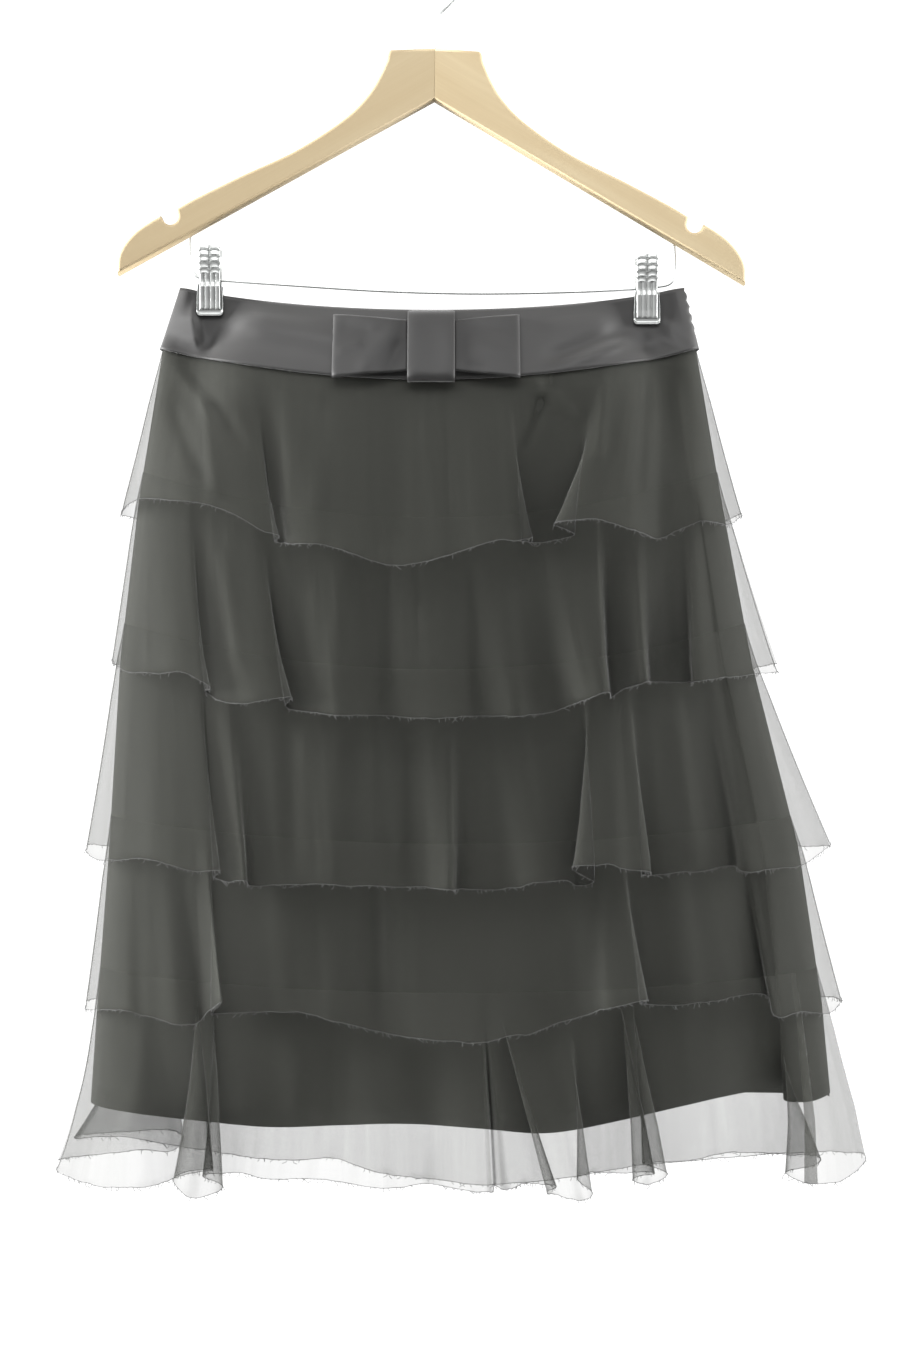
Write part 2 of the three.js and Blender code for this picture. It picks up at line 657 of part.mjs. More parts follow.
function addFlounce(flounce, number) {
  const rows = flounce.front;
  const hemRing = { left: rows[0].hem, right: rows[rows.length - 1].hem };
  const front = foldColumns(rows, seamRingOf(flounce.seam, SEWN), hemRing, 2);
  const frontPoints = panelRows(front, flounce.seam, hemRing, FLOUNCE_ROWS, SEWN, FLARE, -1);
  addPiece(skirt, `flounce_${number}_front`, wall(frontPoints, ORGANZA, -1), organza);
  const back = backColumns(flounce, 2);
  const backPoints = panelRows(back, flounce.seam, hemRing, BACK_ROWS, SEWN, FLARE, 1);
  addPiece(skirt, `flounce_${number}_back`, wall(backPoints, ORGANZA, 1), organza);
}

function addUnderskirt() {
  const seam = { side: WAIST_SEAM.side + UNDER, sag: WAIST_SEAM.sag };
  const rows = UNDERSKIRT_FRONT;
  const hemRing = { left: rows[0].hem, right: rows[rows.length - 1].hem };
  const front = foldColumns(rows, seamRingOf(seam, UNDER), hemRing, 2);
  const frontPoints = panelRows(front, seam, hemRing, UNDERSKIRT_ROWS, UNDER, UNDERSKIRT_FLARE, -1);
  addPiece(skirt, "underskirt_front", wall(frontPoints, ORGANZA, -1), underskirtCloth);

  const { hem, fold, waves, spans } = UNDERSKIRT_BACK;
  const back = placesAlong(spans, 1).map((place) => {
    const angle = Math.PI * (1 + place / spans);
    const out = -fold * Math.sin(angle) ** 2 * (1 + Math.cos(waves * angle));
    return { seam: angle, hem: angle, out, z: seamHeight(hem, angle) };
  });
  const backPoints = panelRows(back, seam, hemRing, UNDERSKIRT_ROWS, UNDER, UNDERSKIRT_FLARE, 1);
  addPiece(skirt, "underskirt_back", wall(backPoints, ORGANZA, 1), underskirtCloth);
}

// ---------------------------------------------------------------- waistband and bow

/** How far the waistband's outer face is from the plane Y = 0 along its top edge. */
function topDepth(angle) {
  const across = -Math.cos(angle);
  const from = PINCH.left + PINCH.halfJaw;
  const to = PINCH.right - PINCH.halfJaw;
  const between = clamp((across - from) / (to - from), 0, 1);
  const leftLoop = clamp((across + 1) / (PINCH.left - PINCH.halfJaw + 1), 0, 1);
  const rightLoop = clamp((1 - across) / (1 - PINCH.right - PINCH.halfJaw), 0, 1);
  const bow = PINCH.bulge * Math.sin(Math.PI * between) ** PINCH.bulgePower;
  const loop = PINCH.loop * (Math.sin(Math.PI * leftLoop) + Math.sin(Math.PI * rightLoop));
  const roundSide = Math.min(1, (Math.abs(Math.sin(angle)) / WAIST_TURN.sine) ** WAIST_TURN.power);
  return roundSide * (PINCH.flat + bow + loop);
}

/** A point of the waistband's outer face, with way 0 at its top edge and 1 at the waist seam. */
function waistbandPoint(angle, way) {
  const across = -Math.cos(angle);
  const seamZ = seamHeight(WAIST_SEAM, angle);
  const seamDepth = bodyDepth(angle, seamZ) + risenGap(SEWN, angle);
  const open = way ** (1 + PINCH.shut * nearClip(across, PINCH.reach));
  const topX = lerp(WAIST_EDGE.left, WAIST_EDGE.right, (across + 1) / 2);
  const x = lerp(topX, bodyAcross(angle, seamZ, SEWN), way);
  const z = lerp(seamHeight(WAIST_TOP, angle), seamZ, way);
  return ringPoint(angle, x, lerp(topDepth(angle), seamDepth, open), z);
}

function addWaistband() {
  const half = (start, halfSpace) =>
    WAISTBAND_ROWS.map((way) => {
      const row = [];
      for (let k = 0; k <= WAISTBAND_COLUMNS; k += k === 0 || k === WAISTBAND_COLUMNS - 2 ? 2 : 1) {
        const point = waistbandPoint(start + (Math.PI * k) / WAISTBAND_COLUMNS, way);
        const atSide = k === 0 || k === WAISTBAND_COLUMNS;
        point.y = halfSpace * (atSide ? SIDE : Math.abs(point.y));
        row.push(point);
      }
      return row;
    });
  addPiece(skirt, "waistband_front", wall(half(0, -1), SATIN, -1), satin);
  addPiece(skirt, "waistband_back", wall(half(Math.PI, 1), SATIN, 1), satin);
}

/** A point moved out from the front of the waistband. */
function offWaistband(x, z, off) {
  let angle = angleAcross((2 * x - WAIST_EDGE.left - WAIST_EDGE.right) / (WAIST_EDGE.right - WAIST_EDGE.left));
  const top = seamHeight(WAIST_TOP, angle);
  const seamZ = seamHeight(WAIST_SEAM, angle);
  const way = clamp((top - z) / (top - seamZ), 0, 1);
  const left = lerp(WAIST_EDGE.left, bodyAcross(0, seamZ, SEWN), way);
  const right = lerp(WAIST_EDGE.right, bodyAcross(Math.PI, seamZ, SEWN), way);
  angle = angleAcross((2 * x - left - right) / (right - left));
  return new THREE.Vector3(x, waistbandPoint(angle, way).y - off, z);
}

/** The outer points of a loop of the bow, which narrows towards the knot. */
function bowLoop(rows, knotX) {
  const path = new THREE.CatmullRomCurve3(
    rows.map(({ x, off }) => new THREE.Vector3(x, off, 0)),
    false,
    "centripetal",
  );
  const tip = Math.max(...rows.map(({ x }) => Math.abs(x - knotX)));
  const points = [];
  for (let j = 0; j <= BOW.rows; j += 1) {
    const row = [];
    for (let k = 0; k <= BOW.steps; k += 1) {
      const point = path.getPoint(k / BOW.steps);
      const gathered = BOW.narrowing * (1 - Math.abs(point.x - knotX) / tip);
      const z = lerp(BOW.top - gathered, BOW.bottom + gathered, j / BOW.rows);
      row.push(offWaistband(point.x, z, Math.max(point.y, BOW.gap)));
    }
    points.push(row);
  }
  return points;
}

function addBow() {
  addPiece(skirt, "bow_loop_left", wall(bowLoop(LEFT_LOOP, LEFT_LOOP[0].x), SATIN, 0), satin);
  addPiece(skirt, "bow_loop_right", wall(bowLoop(RIGHT_LOOP, RIGHT_LOOP[0].x), SATIN, 0), satin);
  const band = BOW_BAND_SECTION.map(({ z, off }) => {
    const row = [];
    for (let k = 0; k <= BOW.bandColumns; k += 1) {
      row.push(offWaistband(lerp(BOW_BAND.left, BOW_BAND.right, k / BOW.bandColumns), z, off));
    }
    return row;
  });
  addPiece(skirt, "bow_band", wall(band, SATIN, 0, false), satin);
}

// ---------------------------------------------------------------- hanger

/** The right arm's outline, from the middle of the hanger's top edge; side -1 gives the left arm's. */
function armShape(side) {
  const at = ({ x, z }) => new THREE.Vector2(side * x, z);
  const shape = new THREE.Shape();
  shape.moveTo(side * SIDE, 0);
  shape.lineTo(side * ARM_BLOCK.x, ARM_BLOCK.z);
  shape.splineThru(ARM_TOP.map(at));
  for (let turn = NOTCH.from; turn <= NOTCH.to; turn += NOTCH.step) {
    const angle = THREE.MathUtils.degToRad(turn);
    shape.lineTo(side * (NOTCH.x + NOTCH.r * Math.cos(angle)), NOTCH.z + NOTCH.r * Math.sin(angle));
  }
  shape.lineTo(side * ARM_SHOULDER[0].x, ARM_SHOULDER[0].z);
  shape.splineThru(ARM_SHOULDER.slice(1).map(at));
  shape.lineTo(side * SIDE, ARM_FORK);
  shape.closePath();
  return shape;
}

function armGeometry(side) {
  const { thickness, bevel } = HANGER;
  const geometry = new THREE.ExtrudeGeometry(armShape(side), {
    depth: thickness - 2 * bevel,
    bevelEnabled: true,
    bevelThickness: bevel,
    bevelSize: bevel,
    bevelOffset: -bevel,
    bevelSegments: 2,
    curveSegments: 2,
  });
  geometry.translate(0, 0, bevel - thickness / 2);
  geometry.rotateX(Math.PI / 2);
  return geometry;
}

function hookCurve() {
  const centre = -HANGER.top - (HOOK.radius - HOOK.wire / 2);
  const points = HOOK_STEM.map(({ x, z }) => new THREE.Vector3(x, 0, z));
  for (let turn = HOOK.from; turn <= HOOK.to; turn += HOOK.bendStep) {
    const angle = THREE.MathUtils.degToRad(turn);
    const x = HOOK.lean + HOOK.radius * Math.cos(angle);
    points.push(new THREE.Vector3(x, 0, centre + HOOK.radius * Math.sin(angle)));
  }
  return new THREE.CatmullRomCurve3(points, false, "centripetal");
}

function addHanger() {
  hanger.position.z = HANGER.top;
  hanger.rotation.y = HANGER.tilt;
  addPiece(hanger, "hanger_arm_left", armGeometry(-1), wood);
  addPiece(hanger, "hanger_arm_right", armGeometry(1), wood);
  addPiece(hanger, "hanger_hook", wire(hookCurve(), HOOK.wire, HOOK.sides, HOOK.steps), steel);
  const route = BAR_ROUTE.map(({ x, z }) => new THREE.Vector3(x, 0, z));
  const bar = new THREE.CatmullRomCurve3(route, false, "centripetal");
  addPiece(skirt, "clip_bar", wire(bar, BAR.wire, BAR.sides, BAR.steps), steel);
}

// ---------------------------------------------------------------- clips

/** One jaw of a clip: side -1 is in front of the cloth, 1 behind it. */
function jawGeometry(clip, side) {
  const last = JAW.columns - 1;
  const rows = JAW_PROFILE.map(({ up, in: inside }) => {
    const row = [];
    const halfWidth = up > JAW.flutesFrom ? JAW.upperHalfWidth : JAW.lowerHalfWidth;
    const fluted = up < JAW.flutesFrom && up > JAW.flutesTo;
    for (let k = 0; k <= last; k += 1) {
      const across = side * lerp(1, -1, k / last);
      const flute = fluted ? JAW.flute * Math.abs(Math.cos((2 * Math.PI * k) / last)) : 0;
      const depth = inside + JAW.wall + flute;
      row.push(new THREE.Vector3(clip.x + across * halfWidth, side * depth, clip.wire + up));
    }
    return row;
  });
  return wall(rows, JAW.wall, 0);
}

function springGeometry() {
  const half = SPRING.length / 2;
  const profile = [
    new THREE.Vector2(SPRING.inner, -half),
    new THREE.Vector2(SPRING.outer, -half),
    new THREE.Vector2(SPRING.outer, half),
    new THREE.Vector2(SPRING.inner, half),
    new THREE.Vector2(SPRING.inner, -half),
  ];
  const geometry = new THREE.LatheGeometry(profile, SPRING.sides);
  geometry.rotateZ(Math.PI / 2);
  return geometry;
}

function addClips() {
  for (const clip of CLIPS) {
    addPiece(skirt, `clip_${clip.name}_front_jaw`, jawGeometry(clip, -1), steel);
    addPiece(skirt, `clip_${clip.name}_back_jaw`, jawGeometry(clip, 1), steel);
    addPiece(skirt, `clip_${clip.name}_spring`, springGeometry(), steel).position.set(clip.x, 0, clip.wire);
  }
}

// ---------------------------------------------------------------- the whole

addUnderskirt();
FLOUNCES.forEach((flounce, i) => addFlounce(flounce, i + 1));
addWaistband();
addBow();
addHanger();
addClips();

const object = new THREE.Group();
object.add(skirt, hanger);
export default object;
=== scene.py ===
# A tiered organza skirt on a wooden clip hanger. Lengths are in millimetres until a mesh is made.
#
# The skirt's forms are worked out as in the CAD source: rings round the skirt, with an angle of 0 at the
# left side, 90 degrees at the centre front, 180 at the right side and 270 at the centre back. Here they
# are finer, and carry creases, seam allowances and frayed edges as well.

import math
from collections import namedtuple

import bmesh
import bpy
import numpy as np
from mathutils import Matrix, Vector


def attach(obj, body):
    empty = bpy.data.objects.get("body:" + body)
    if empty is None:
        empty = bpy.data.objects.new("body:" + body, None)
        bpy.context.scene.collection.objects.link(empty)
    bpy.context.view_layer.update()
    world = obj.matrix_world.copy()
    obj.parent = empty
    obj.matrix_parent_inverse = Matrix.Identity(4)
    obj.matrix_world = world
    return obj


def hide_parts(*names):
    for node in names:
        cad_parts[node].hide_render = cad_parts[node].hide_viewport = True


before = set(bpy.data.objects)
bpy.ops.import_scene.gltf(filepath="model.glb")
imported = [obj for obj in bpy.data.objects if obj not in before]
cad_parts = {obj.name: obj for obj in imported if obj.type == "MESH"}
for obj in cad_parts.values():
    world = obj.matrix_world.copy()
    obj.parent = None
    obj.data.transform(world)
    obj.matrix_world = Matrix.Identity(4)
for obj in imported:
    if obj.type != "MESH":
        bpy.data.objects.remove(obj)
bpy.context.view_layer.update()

MM = 0.001

# -------- sizes

SEAM_GAP = 0.3
WALL = 1.0  # the flounces' CAD walls; the shells here lie on their outer faces
SEWN = SEAM_GAP + WALL
TUCK = 0.6  # how far the cloth below the waistband goes up behind its edge
FLUSH = -0.5  # the flounces lie on the under-skirt at their seams, and leave it a third of the way down
UNDER = -0.9
SIDE = 0.15
HALF_SPACE = {"front": -1, "back": 1}
SHEER = 0.3  # thickness of the organza shells
LINING = 0.5
SATIN = 0.7

BODY_LEVELS = {
    "z": (-298, -405, -518, -653, -760, -835),
    "left": (-194, -211, -224, -232, -240, -245),
    "right": (186, 204, 225, 259, 275, 282),
    "front": (34, 38, 43, 48, 52, 54),
    "back": (30, 34, 38, 40, 41, 40),
}
FULLNESS = 0.8  # the less, the more squarely a ring turns at the sides
SIDE_TURN = 8  # how soon a gap reaches its full size from the sides
WAIST_TOP = (-254, 18)  # height at the sides, and how much lower the middle is
WAIST_SEAM = (-298, 26)
WAIST_EDGE = (-181, 177)
CLIP_ACROSS = (-0.883, 0.849)  # where the clips are across the waist, which goes from -1 to 1
HALF_JAW = 0.056
PINCH_REACH = 0.12  # how far to each side a clip holds the cloth together
PINCH_AT_SEAM = 0.5
PINCH_ENDS_AT = -400
BULGE = 13  # how far the waistband's top stands out between the clips
BULGE_POWER = 1.2
WAIST_TURN = (0.28, 0.7)
SATIN_WALL = 1.2
LOOP = 1.6  # how far it stands out between a clip and the side
SHUT = 3  # how much later it opens below a clip

# -------- folds: seam, hem, out, z

UNDERSKIRT_FRONT = (
    (-194, -244, 0, -831), (-176, -222, -5, -834), (-130, -165, -6, -838), (-92, -114, -1, -840),
    (-60, -72, -8, -840), (-20, -22, -13, -839), (20, 30, -7, -841), (58, 76, 0, -843),
    (90, 112, -4, -839), (118, 150, -8, -832), (144, 196, -14, -824), (160, 234, -19, -820),
    (167, 249, -19, -821), (171, 244, -8, -826), (178, 262, -4, -828), (186, 280, 0, -824),
)

FLOUNCE_1_FRONT = (
    (-195, -222.6, 0, -415), (-189, -208, 8, -407), (-170, -178, 24, -409), (-150, -146, 28, -416),
    (-136, -118, 28, -430), (-128, -106, 21, -435), (-120, -110, 9, -437), (-113, -104, 9, -438),
    (-102, -98, 24, -440), (-78, -74, 30, -441), (-31, -27, 31, -455), (5, 11, 31, -448),
    (34, 43, 30, -438), (40, 54, 26, -438), (46, 67, 20, -436), (55, 60, 11, -437), (76, 77, 9, -438),
    (104, 96, 13, -433), (124, 81, 33, -427), (136, 106, 36, -424), (146, 136, 32, -431),
    (156, 154, 17, -435), (165, 172, 18, -428), (173, 186, 22, -424), (182, 204, 12, -424),
    (187, 217.8, 0, -416),
)

FLOUNCE_2_FRONT = (
    (-209, -229.2, 0, -518), (-204, -216, 8, -526), (-195, -192, 18, -528), (-184, -170, 24, -528),
    (-172, -153, 24, -537), (-165, -158, 11, -541), (-160, -153, 9, -544), (-154, -146, 16, -547),
    (-143, -125, 25, -548), (-126, -97, 25, -544), (-115, -102, 9, -551), (-99, -85, 15, -555),
    (-76, -64, 26, -556), (-38, -32, 18, -557), (-2, 4, 26, -558), (24, 32, 18, -557),
    (42, 57, 26, -557), (55, 71, 19, -555), (66, 86, 17, -552), (78, 104, 30, -545),
    (108, 117, 33, -541), (116, 122, 10, -544), (124, 129, 13, -539), (136, 144, 29, -534),
    (148, 150, 12, -534), (168, 175, 10, -534), (176, 178, 26, -534), (187, 199, 22, -531),
    (196, 222, 13, -529), (202, 243, 0, -526),
)

FLOUNCE_3_FRONT = (
    (-222, -247.5, 0, -652), (-218, -237, 4, -658), (-210, -218, 9, -657), (-196, -196, 17, -656),
    (-178, -164, 22, -663), (-166, -146, 21, -662), (-160, -152, 9, -668), (-153, -142, 14, -671),
    (-145, -128, 20, -669), (-136, -127, 12, -673), (-110, -98, 15, -672), (-82, -71, 17, -672),
    (-46, -40, 18, -673), (-12, -6, 16, -674), (6, 11, 24, -674), (14, 17, 12, -675),
    (30, 45, 14, -675), (40, 65, 20, -671), (49, 77, 21, -669), (58, 91, 13, -669), (80, 99, 8, -673),
    (97, 109, 11, -671), (107, 93, 26, -660), (114, 115, 31, -657), (121, 131, 29, -660),
    (127, 147, 23, -663), (134, 141, 12, -666), (144, 154, 9, -666), (160, 178, 11, -664),
    (180, 206, 8, -661), (187, 211, 19, -664), (200, 232, 15, -663), (212, 256, 9, -660),
    (221, 280.4, 0, -648),
)

FLOUNCE_4_FRONT = (
    (-232, -248, 0, -764), (-226, -234, 5, -763), (-218, -216, 13, -760), (-209, -204, 13, -762),
    (-201, -193, 14, -764), (-189, -173, 17, -768), (-177, -160, 8, -766), (-168, -158, 9, -763),
    (-160, -144, 22, -751), (-154, -153, 9, -762), (-144, -138, 9, -760), (-106, -98, 13, -759),
    (-66, -61, 16, -765), (-38, -34, 11, -772), (-10, -6, 17, -775), (12, 16, 20, -777),
    (26, 31, 22, -777), (40, 49, 17, -774), (54, 64, 15, -773), (74, 82, 11, -767),
    (104, 107, 16, -758), (118, 118, 26, -754), (123, 144, 27, -748), (129, 141, 9, -754),
    (164, 182, 9, -754), (188, 209, 10, -749), (206, 229, 8, -750), (213, 232, 19, -762),
    (229, 254, 11, -762), (242, 274, 6, -764), (253, 288, 0, -758),
)

FLOUNCE_5_FRONT = (
    (-239, -268, 0, -878), (-236, -257, 5, -878), (-231, -240, 20, -878), (-226, -220, 28, -878),
    (-217, -197, 26, -877), (-206, -181, 15, -874), (-192, -170, 9, -870), (-168, -151, 11, -866),
    (-165, -177, 24, -870), (-161, -163, 33, -881), (-157, -143, 21, -876), (-153, -159, 6, -872),
    (-138, -140, 3, -871), (-100, -118, 4, -873), (-76, -75, 4, -874), (-36, -31, 14, -877),
    (-6, -3, 6, -875), (20, 24, 18, -878), (30, 38, 18, -878), (33, 41, 6, -877), (35, 47, 15, -877),
    (37, 64, 8, -875), (39, 83, 9, -877), (41, 76, 17, -879), (48, 84, 23, -880), (72, 99, 27, -882),
    (86, 107, 19, -879), (96, 97, 8, -872), (104, 106, 5, -869), (114, 124, 7, -868),
    (125, 150, 11, -868), (128, 134, 20, -870), (130, 144, 27, -872), (133, 158, 18, -867),
    (136, 142, 6, -862), (148, 162, 4, -862), (174, 184, 4, -861), (191, 214, 4, -860),
    (203, 244, 3, -860), (212, 267, 6, -863), (227, 260, 14, -866), (243, 239, 20, -868),
    (251, 254, 27, -875), (258, 275, 21, -877), (265, 293, 10, -874), (272, 305, 0, -870),
)

# The lowest flounce's back has an extra fold at the left, which lies over itself.
FLOUNCE_5_BACK = (
    (-239, -268, 0, -874), (-230, -258, 8, -876), (-216, -222, 14, -876), (-204, -192, 15, -876),
    (-200, -184, 12, -867), (-197, -196, 8, -860), (-194, -226, 5, -860), (-191, -258, 3, -860),
    (-188, -259, 1.5, -861), (-184, -224, 1, -862), (-172, -182, 2, -871), (-150, -148, 11, -880),
    (-118, -114, 4, -883), (-80, -76, 13, -884), (-40, -36, 5, -894), (-5, 0, 14, -900),
    (30, 34, 8, -903), (62, 70, 13, -901), (96, 108, 4, -894), (130, 142, 12, -889),
    (164, 180, 5, -883), (196, 214, 12, -878), (226, 246, 5, -876), (250, 276, 9, -874),
    (264, 294, 5, -872), (272, 305, 0, -870),
)

# Folds of the back: where each is across the half ring, and how far it stands out.
BACK_FOLDS = (
    (-1, 0), (-0.94, 8), (-0.82, 21), (-0.7, 11), (-0.57, 24), (-0.43, 12), (-0.27, 26), (-0.12, 13),
    (0.04, 23), (0.2, 11), (0.35, 27), (0.5, 13), (0.64, 22), (0.77, 10), (0.88, 17), (0.95, 8), (1, 0),
)

# Each flounce: front folds, seam (height, sag), back hem (height, sag), and the scale of BACK_FOLDS on its
# back, or its back's own folds.
FLOUNCES = (
    (FLOUNCE_1_FRONT, (-298.3, 26), (-415, 30), 0.8),
    (FLOUNCE_2_FRONT, (-385, 35), (-521, 26), -0.85),
    (FLOUNCE_3_FRONT, (-492, 33), (-650, 20), 0.9),
    (FLOUNCE_4_FRONT, (-628, 17), (-760, 10), -0.9),
    (FLOUNCE_5_FRONT, (-735, 12), (-873, 18), FLOUNCE_5_BACK),
)
FLARE = 1.35
LATE_SPREAD = 1.3  # how much later the lowest flounce spreads at the left
UNDERSKIRT_FLARE = 2

# -------- rings


def share(value):
    """A value held between 0 and 1."""
    return np.clip(value, 0, 1)


def level(key, z):
    zs = np.array(BODY_LEVELS["z"], float)[::-1]
    return np.interp(z, zs, np.array(BODY_LEVELS[key], float)[::-1])


def seam_height(seam, angle):
    return seam[0] - seam[1] * np.sin(angle) ** 2


def near_clip(across):
    return sum(np.exp(-(((across - at) / PINCH_REACH) ** 2)) for at in CLIP_ACROSS)


def body_depth(angle, z, back):
    full = np.where(back, level("back", z), level("front", z))
    fade = share((z - PINCH_ENDS_AT) / (WAIST_SEAM[0] - PINCH_ENDS_AT))
    hollow = PINCH_AT_SEAM * fade * near_clip(-np.cos(angle))
    return full * np.abs(np.sin(angle)) ** FULLNESS * (1 - hollow)


def body_across(angle, z, gap):
    left, right = level("left", z), level("right", z)
    return (left + right) / 2 - ((right - left) / 2 + gap) * np.cos(angle)


def risen_gap(gap, angle):
    return gap * np.minimum(1, SIDE_TURN * np.abs(np.sin(angle)))


def angle_across(x, ring):
    return np.arccos(-np.clip((2 * x - ring[0] - ring[1]) / (ring[1] - ring[0]), -1, 1))


def smooth_curve(points, t):
    """A centripetal Catmull-Rom curve through the points, at t from 0 to 1 by points."""
    p = np.asarray(points, float)
    last = len(p) - 1
    place = np.asarray(t, float) * last
    i = np.minimum(place.astype(int), last - 1)
    w = (place - i)[:, None]
    padded = np.vstack([2 * p[0] - p[1], p, 2 * p[-1] - p[-2]])
    p0, p1, p2, p3 = (padded[i + k] for k in range(4))
    d0, d1, d2 = (np.sqrt(np.linalg.norm(b - a, axis=1))[:, None] for a, b in ((p0, p1), (p1, p2), (p2, p3)))
    t1 = ((p1 - p0) / d0 - (p2 - p0) / (d0 + d1) + (p2 - p1) / d1) * d1
    t2 = ((p2 - p1) / d1 - (p3 - p1) / (d1 + d2) + (p3 - p2) / d2) * d1
    return p1 + t1 * w + (-3 * p1 + 3 * p2 - 2 * t1 - t2) * w**2 + (2 * p1 - 2 * p2 + t1 + t2) * w**3


SIDE_COLUMNS = 10


def places(spans, each):
    """Places along a row of folds, with each of them from fold to fold, and closer at the sides."""
    near = (np.arange(SIDE_COLUMNS) / SIDE_COLUMNS) ** 2
    middle = np.arange(each, (spans - 1) * each + 1) / each
    return np.concatenate([near, middle, spans - near[::-1]])


# A panel's columns: angle on the seam and at the hem, stand-off and height at the hem, place in the row.
Columns = namedtuple("Columns", "seam hem out z at")


def fold_columns(rows, seam_ring, hem_ring, each):
    table = np.array(rows, float)
    spans = len(rows) - 1
    at = places(spans, each)
    curve = smooth_curve(table[:, 1:], at / spans)
    seam_x = np.interp(at, np.arange(spans + 1), table[:, 0])
    seam = angle_across(seam_x, seam_ring)
    hem = angle_across(curve[:, 0], hem_ring)
    out, z = curve[:, 1].copy(), curve[:, 2]
    seam[0] = hem[0] = out[0] = out[-1] = 0
    seam[-1] = hem[-1] = math.pi
    return Columns(seam, hem, out, z, at)


def turned_to_back(columns):
    """Columns of a front, as seen from the front, moved to the back half of the ring."""
    seam, hem, out, z, at = columns
    return Columns(2 * math.pi - seam[::-1], 2 * math.pi - hem[::-1], out[::-1], z[::-1], at)


def back_columns(back_hem, scale):
    spans = len(BACK_FOLDS) - 1
    at = places(spans, BACK_FINE)
    folds = np.array([(a, o * abs(scale) / 100) for a, o in BACK_FOLDS], float)
    curve = smooth_curve(folds, at / spans if scale > 0 else 1 - at / spans)
    across = -curve[:, 0] if scale > 0 else curve[:, 0]
    angle = 2 * math.pi - np.arccos(-np.clip(across, -1, 1))
    angle[0], angle[-1] = math.pi, 2 * math.pi
    out = curve[:, 1] * 100
    out[0] = out[-1] = 0
    return Columns(angle, angle.copy(), out, seam_height(back_hem, angle), at)


def panel_points(columns, seam, hem_ring, heights, gap, flare, back, late=0):
    """Outer points of a panel that hangs from a seam, heights x columns x 3.

    late makes the left side spread later on the way down than the rest.
    """
    way = np.asarray(heights, float)[:, None]
    angle = (1 - way) * columns.seam + way * columns.hem
    z = (1 - way) * seam_height(seam, columns.seam) + way * columns.z
    grown = way**flare
    hem_x = (hem_ring[0] + hem_ring[1]) / 2 - (hem_ring[1] - hem_ring[0]) / 2 * np.cos(angle)
    spread = way ** (flare + late * share(np.cos(angle)))
    x = body_across(angle, z, gap) + spread * (hem_x - body_across(angle, columns.z, gap))
    depth = body_depth(angle, z, back) + risen_gap(gap, angle) + grown * columns.out
    return np.stack([x, depth, z], axis=2)


def seam_ring(seam, gap):
    return level("left", seam[0]) - gap, level("right", seam[0]) + gap


# -------- meshes


def unit(vectors):
    return vectors / np.maximum(np.linalg.norm(vectors, axis=-1, keepdims=True), 1e-9)


def lengths_along(line):
    """How far each point of a line is from its start, along the line."""
    return np.concatenate([[0], np.cumsum(np.linalg.norm(np.diff(line, axis=0), axis=1))])


def normals_of(points):
    """Unit normals of a grid of points, halfway between those of the sheet on each side of a column."""
    down = unit(np.diff(points, axis=0))
    down = np.concatenate([down[:1], down]) + np.concatenate([down, down[-1:]])
    across = unit(np.diff(points, axis=1))
    left = np.concatenate([across[:, :1], across], axis=1)
    right = np.concatenate([across, across[:, -1:]], axis=1)
    return unit(unit(np.cross(down, left)) + unit(np.cross(down, right)))


def make_object(name, verts, faces, uvs, material):
    mesh = bpy.data.meshes.new(name)
    mesh.from_pydata((np.asarray(verts) * MM).tolist(), [], faces)
    if uvs is not None:
        layer = mesh.uv_layers.new(name="cloth")
        loops = np.empty(len(mesh.loops), dtype=np.int32)
        mesh.loops.foreach_get("vertex_index", loops)
        layer.data.foreach_set("uv", np.asarray(uvs, float)[loops].ravel())
    mesh.polygons.foreach_set("use_smooth", [True] * len(mesh.polygons))
    mesh.materials.append(material)
    mesh.update()
    obj = bpy.data.objects.new(name, mesh)
    bpy.context.scene.collection.objects.link(obj)
    return obj


def grid_faces(down, across, closed=False):
    j, i = np.mgrid[0 : down - 1, 0 : across if closed else across - 1]
    a = j * across + i
    b = j * across + (i + 1) % across
    return np.stack([a, a + across, b + across, b], axis=-1).reshape(-1, 4)


def sheet_faces(down, across):
    """Faces of a closed sheet: a grid of outer points, then the same grid of inner points."""
    faces = grid_faces(down, across)
    count = down * across
    index = np.arange(count).reshape(down, across)
    rims = []
    for line, turned in ((index[0], True), (index[-1], False), (index[:, 0], False), (index[:, -1], True)):
        a, b = line[:-1], line[1:]
        quad = np.stack([a, a + count, b + count, b], axis=1)
        rims.append(quad[:, ::-1] if turned else quad)
    return np.concatenate([faces, faces[:, ::-1] + count] + rims)


# How much a sheet turns, in radians, where its fold starts to count, and over how much more it grows to 1.
FOLD_START, FOLD_FULL = 0.35, 1.4
# The hollows found below are painted into the organza as shade.
HOLLOW_REACH = 60  # how far away a fold still shades a hollow
HOLLOW_FULL = 1.2
HOLLOW_START = 0.22


def creased(points):
    """How sharply a sheet turns at each point of its rows, from 0 to 1."""
    step = unit(np.diff(points, axis=1))
    turn = np.arccos(np.clip((step[:, 1:] * step[:, :-1]).sum(axis=2), -1, 1))
    turn = np.pad(turn, ((0, 0), (1, 1)))
    near = sum(np.roll(turn, k, axis=1) for k in (-1, 0, 1))
    return share((near - FOLD_START) / FOLD_FULL)


def hollowed(points):
    """How deep each point of a sheet lies between the folds on both sides of it, from 0 to 1. The organza is
    darkened there as painted shade.
    """
    x, depth = points[:, :, 0], np.abs(points[:, :, 1])
    apart = x[:, None, :] - x[:, :, None]
    far = np.abs(apart)
    rise = np.arctan2(depth[:, None, :] - depth[:, :, None], np.maximum(far, 1))
    rise[(far < 3) | (far > HOLLOW_REACH)] = 0
    left = np.max(np.where(apart < 0, rise, 0), axis=2)
    right = np.max(np.where(apart > 0, rise, 0), axis=2)
    return share((left + right) / HOLLOW_FULL - HOLLOW_START)


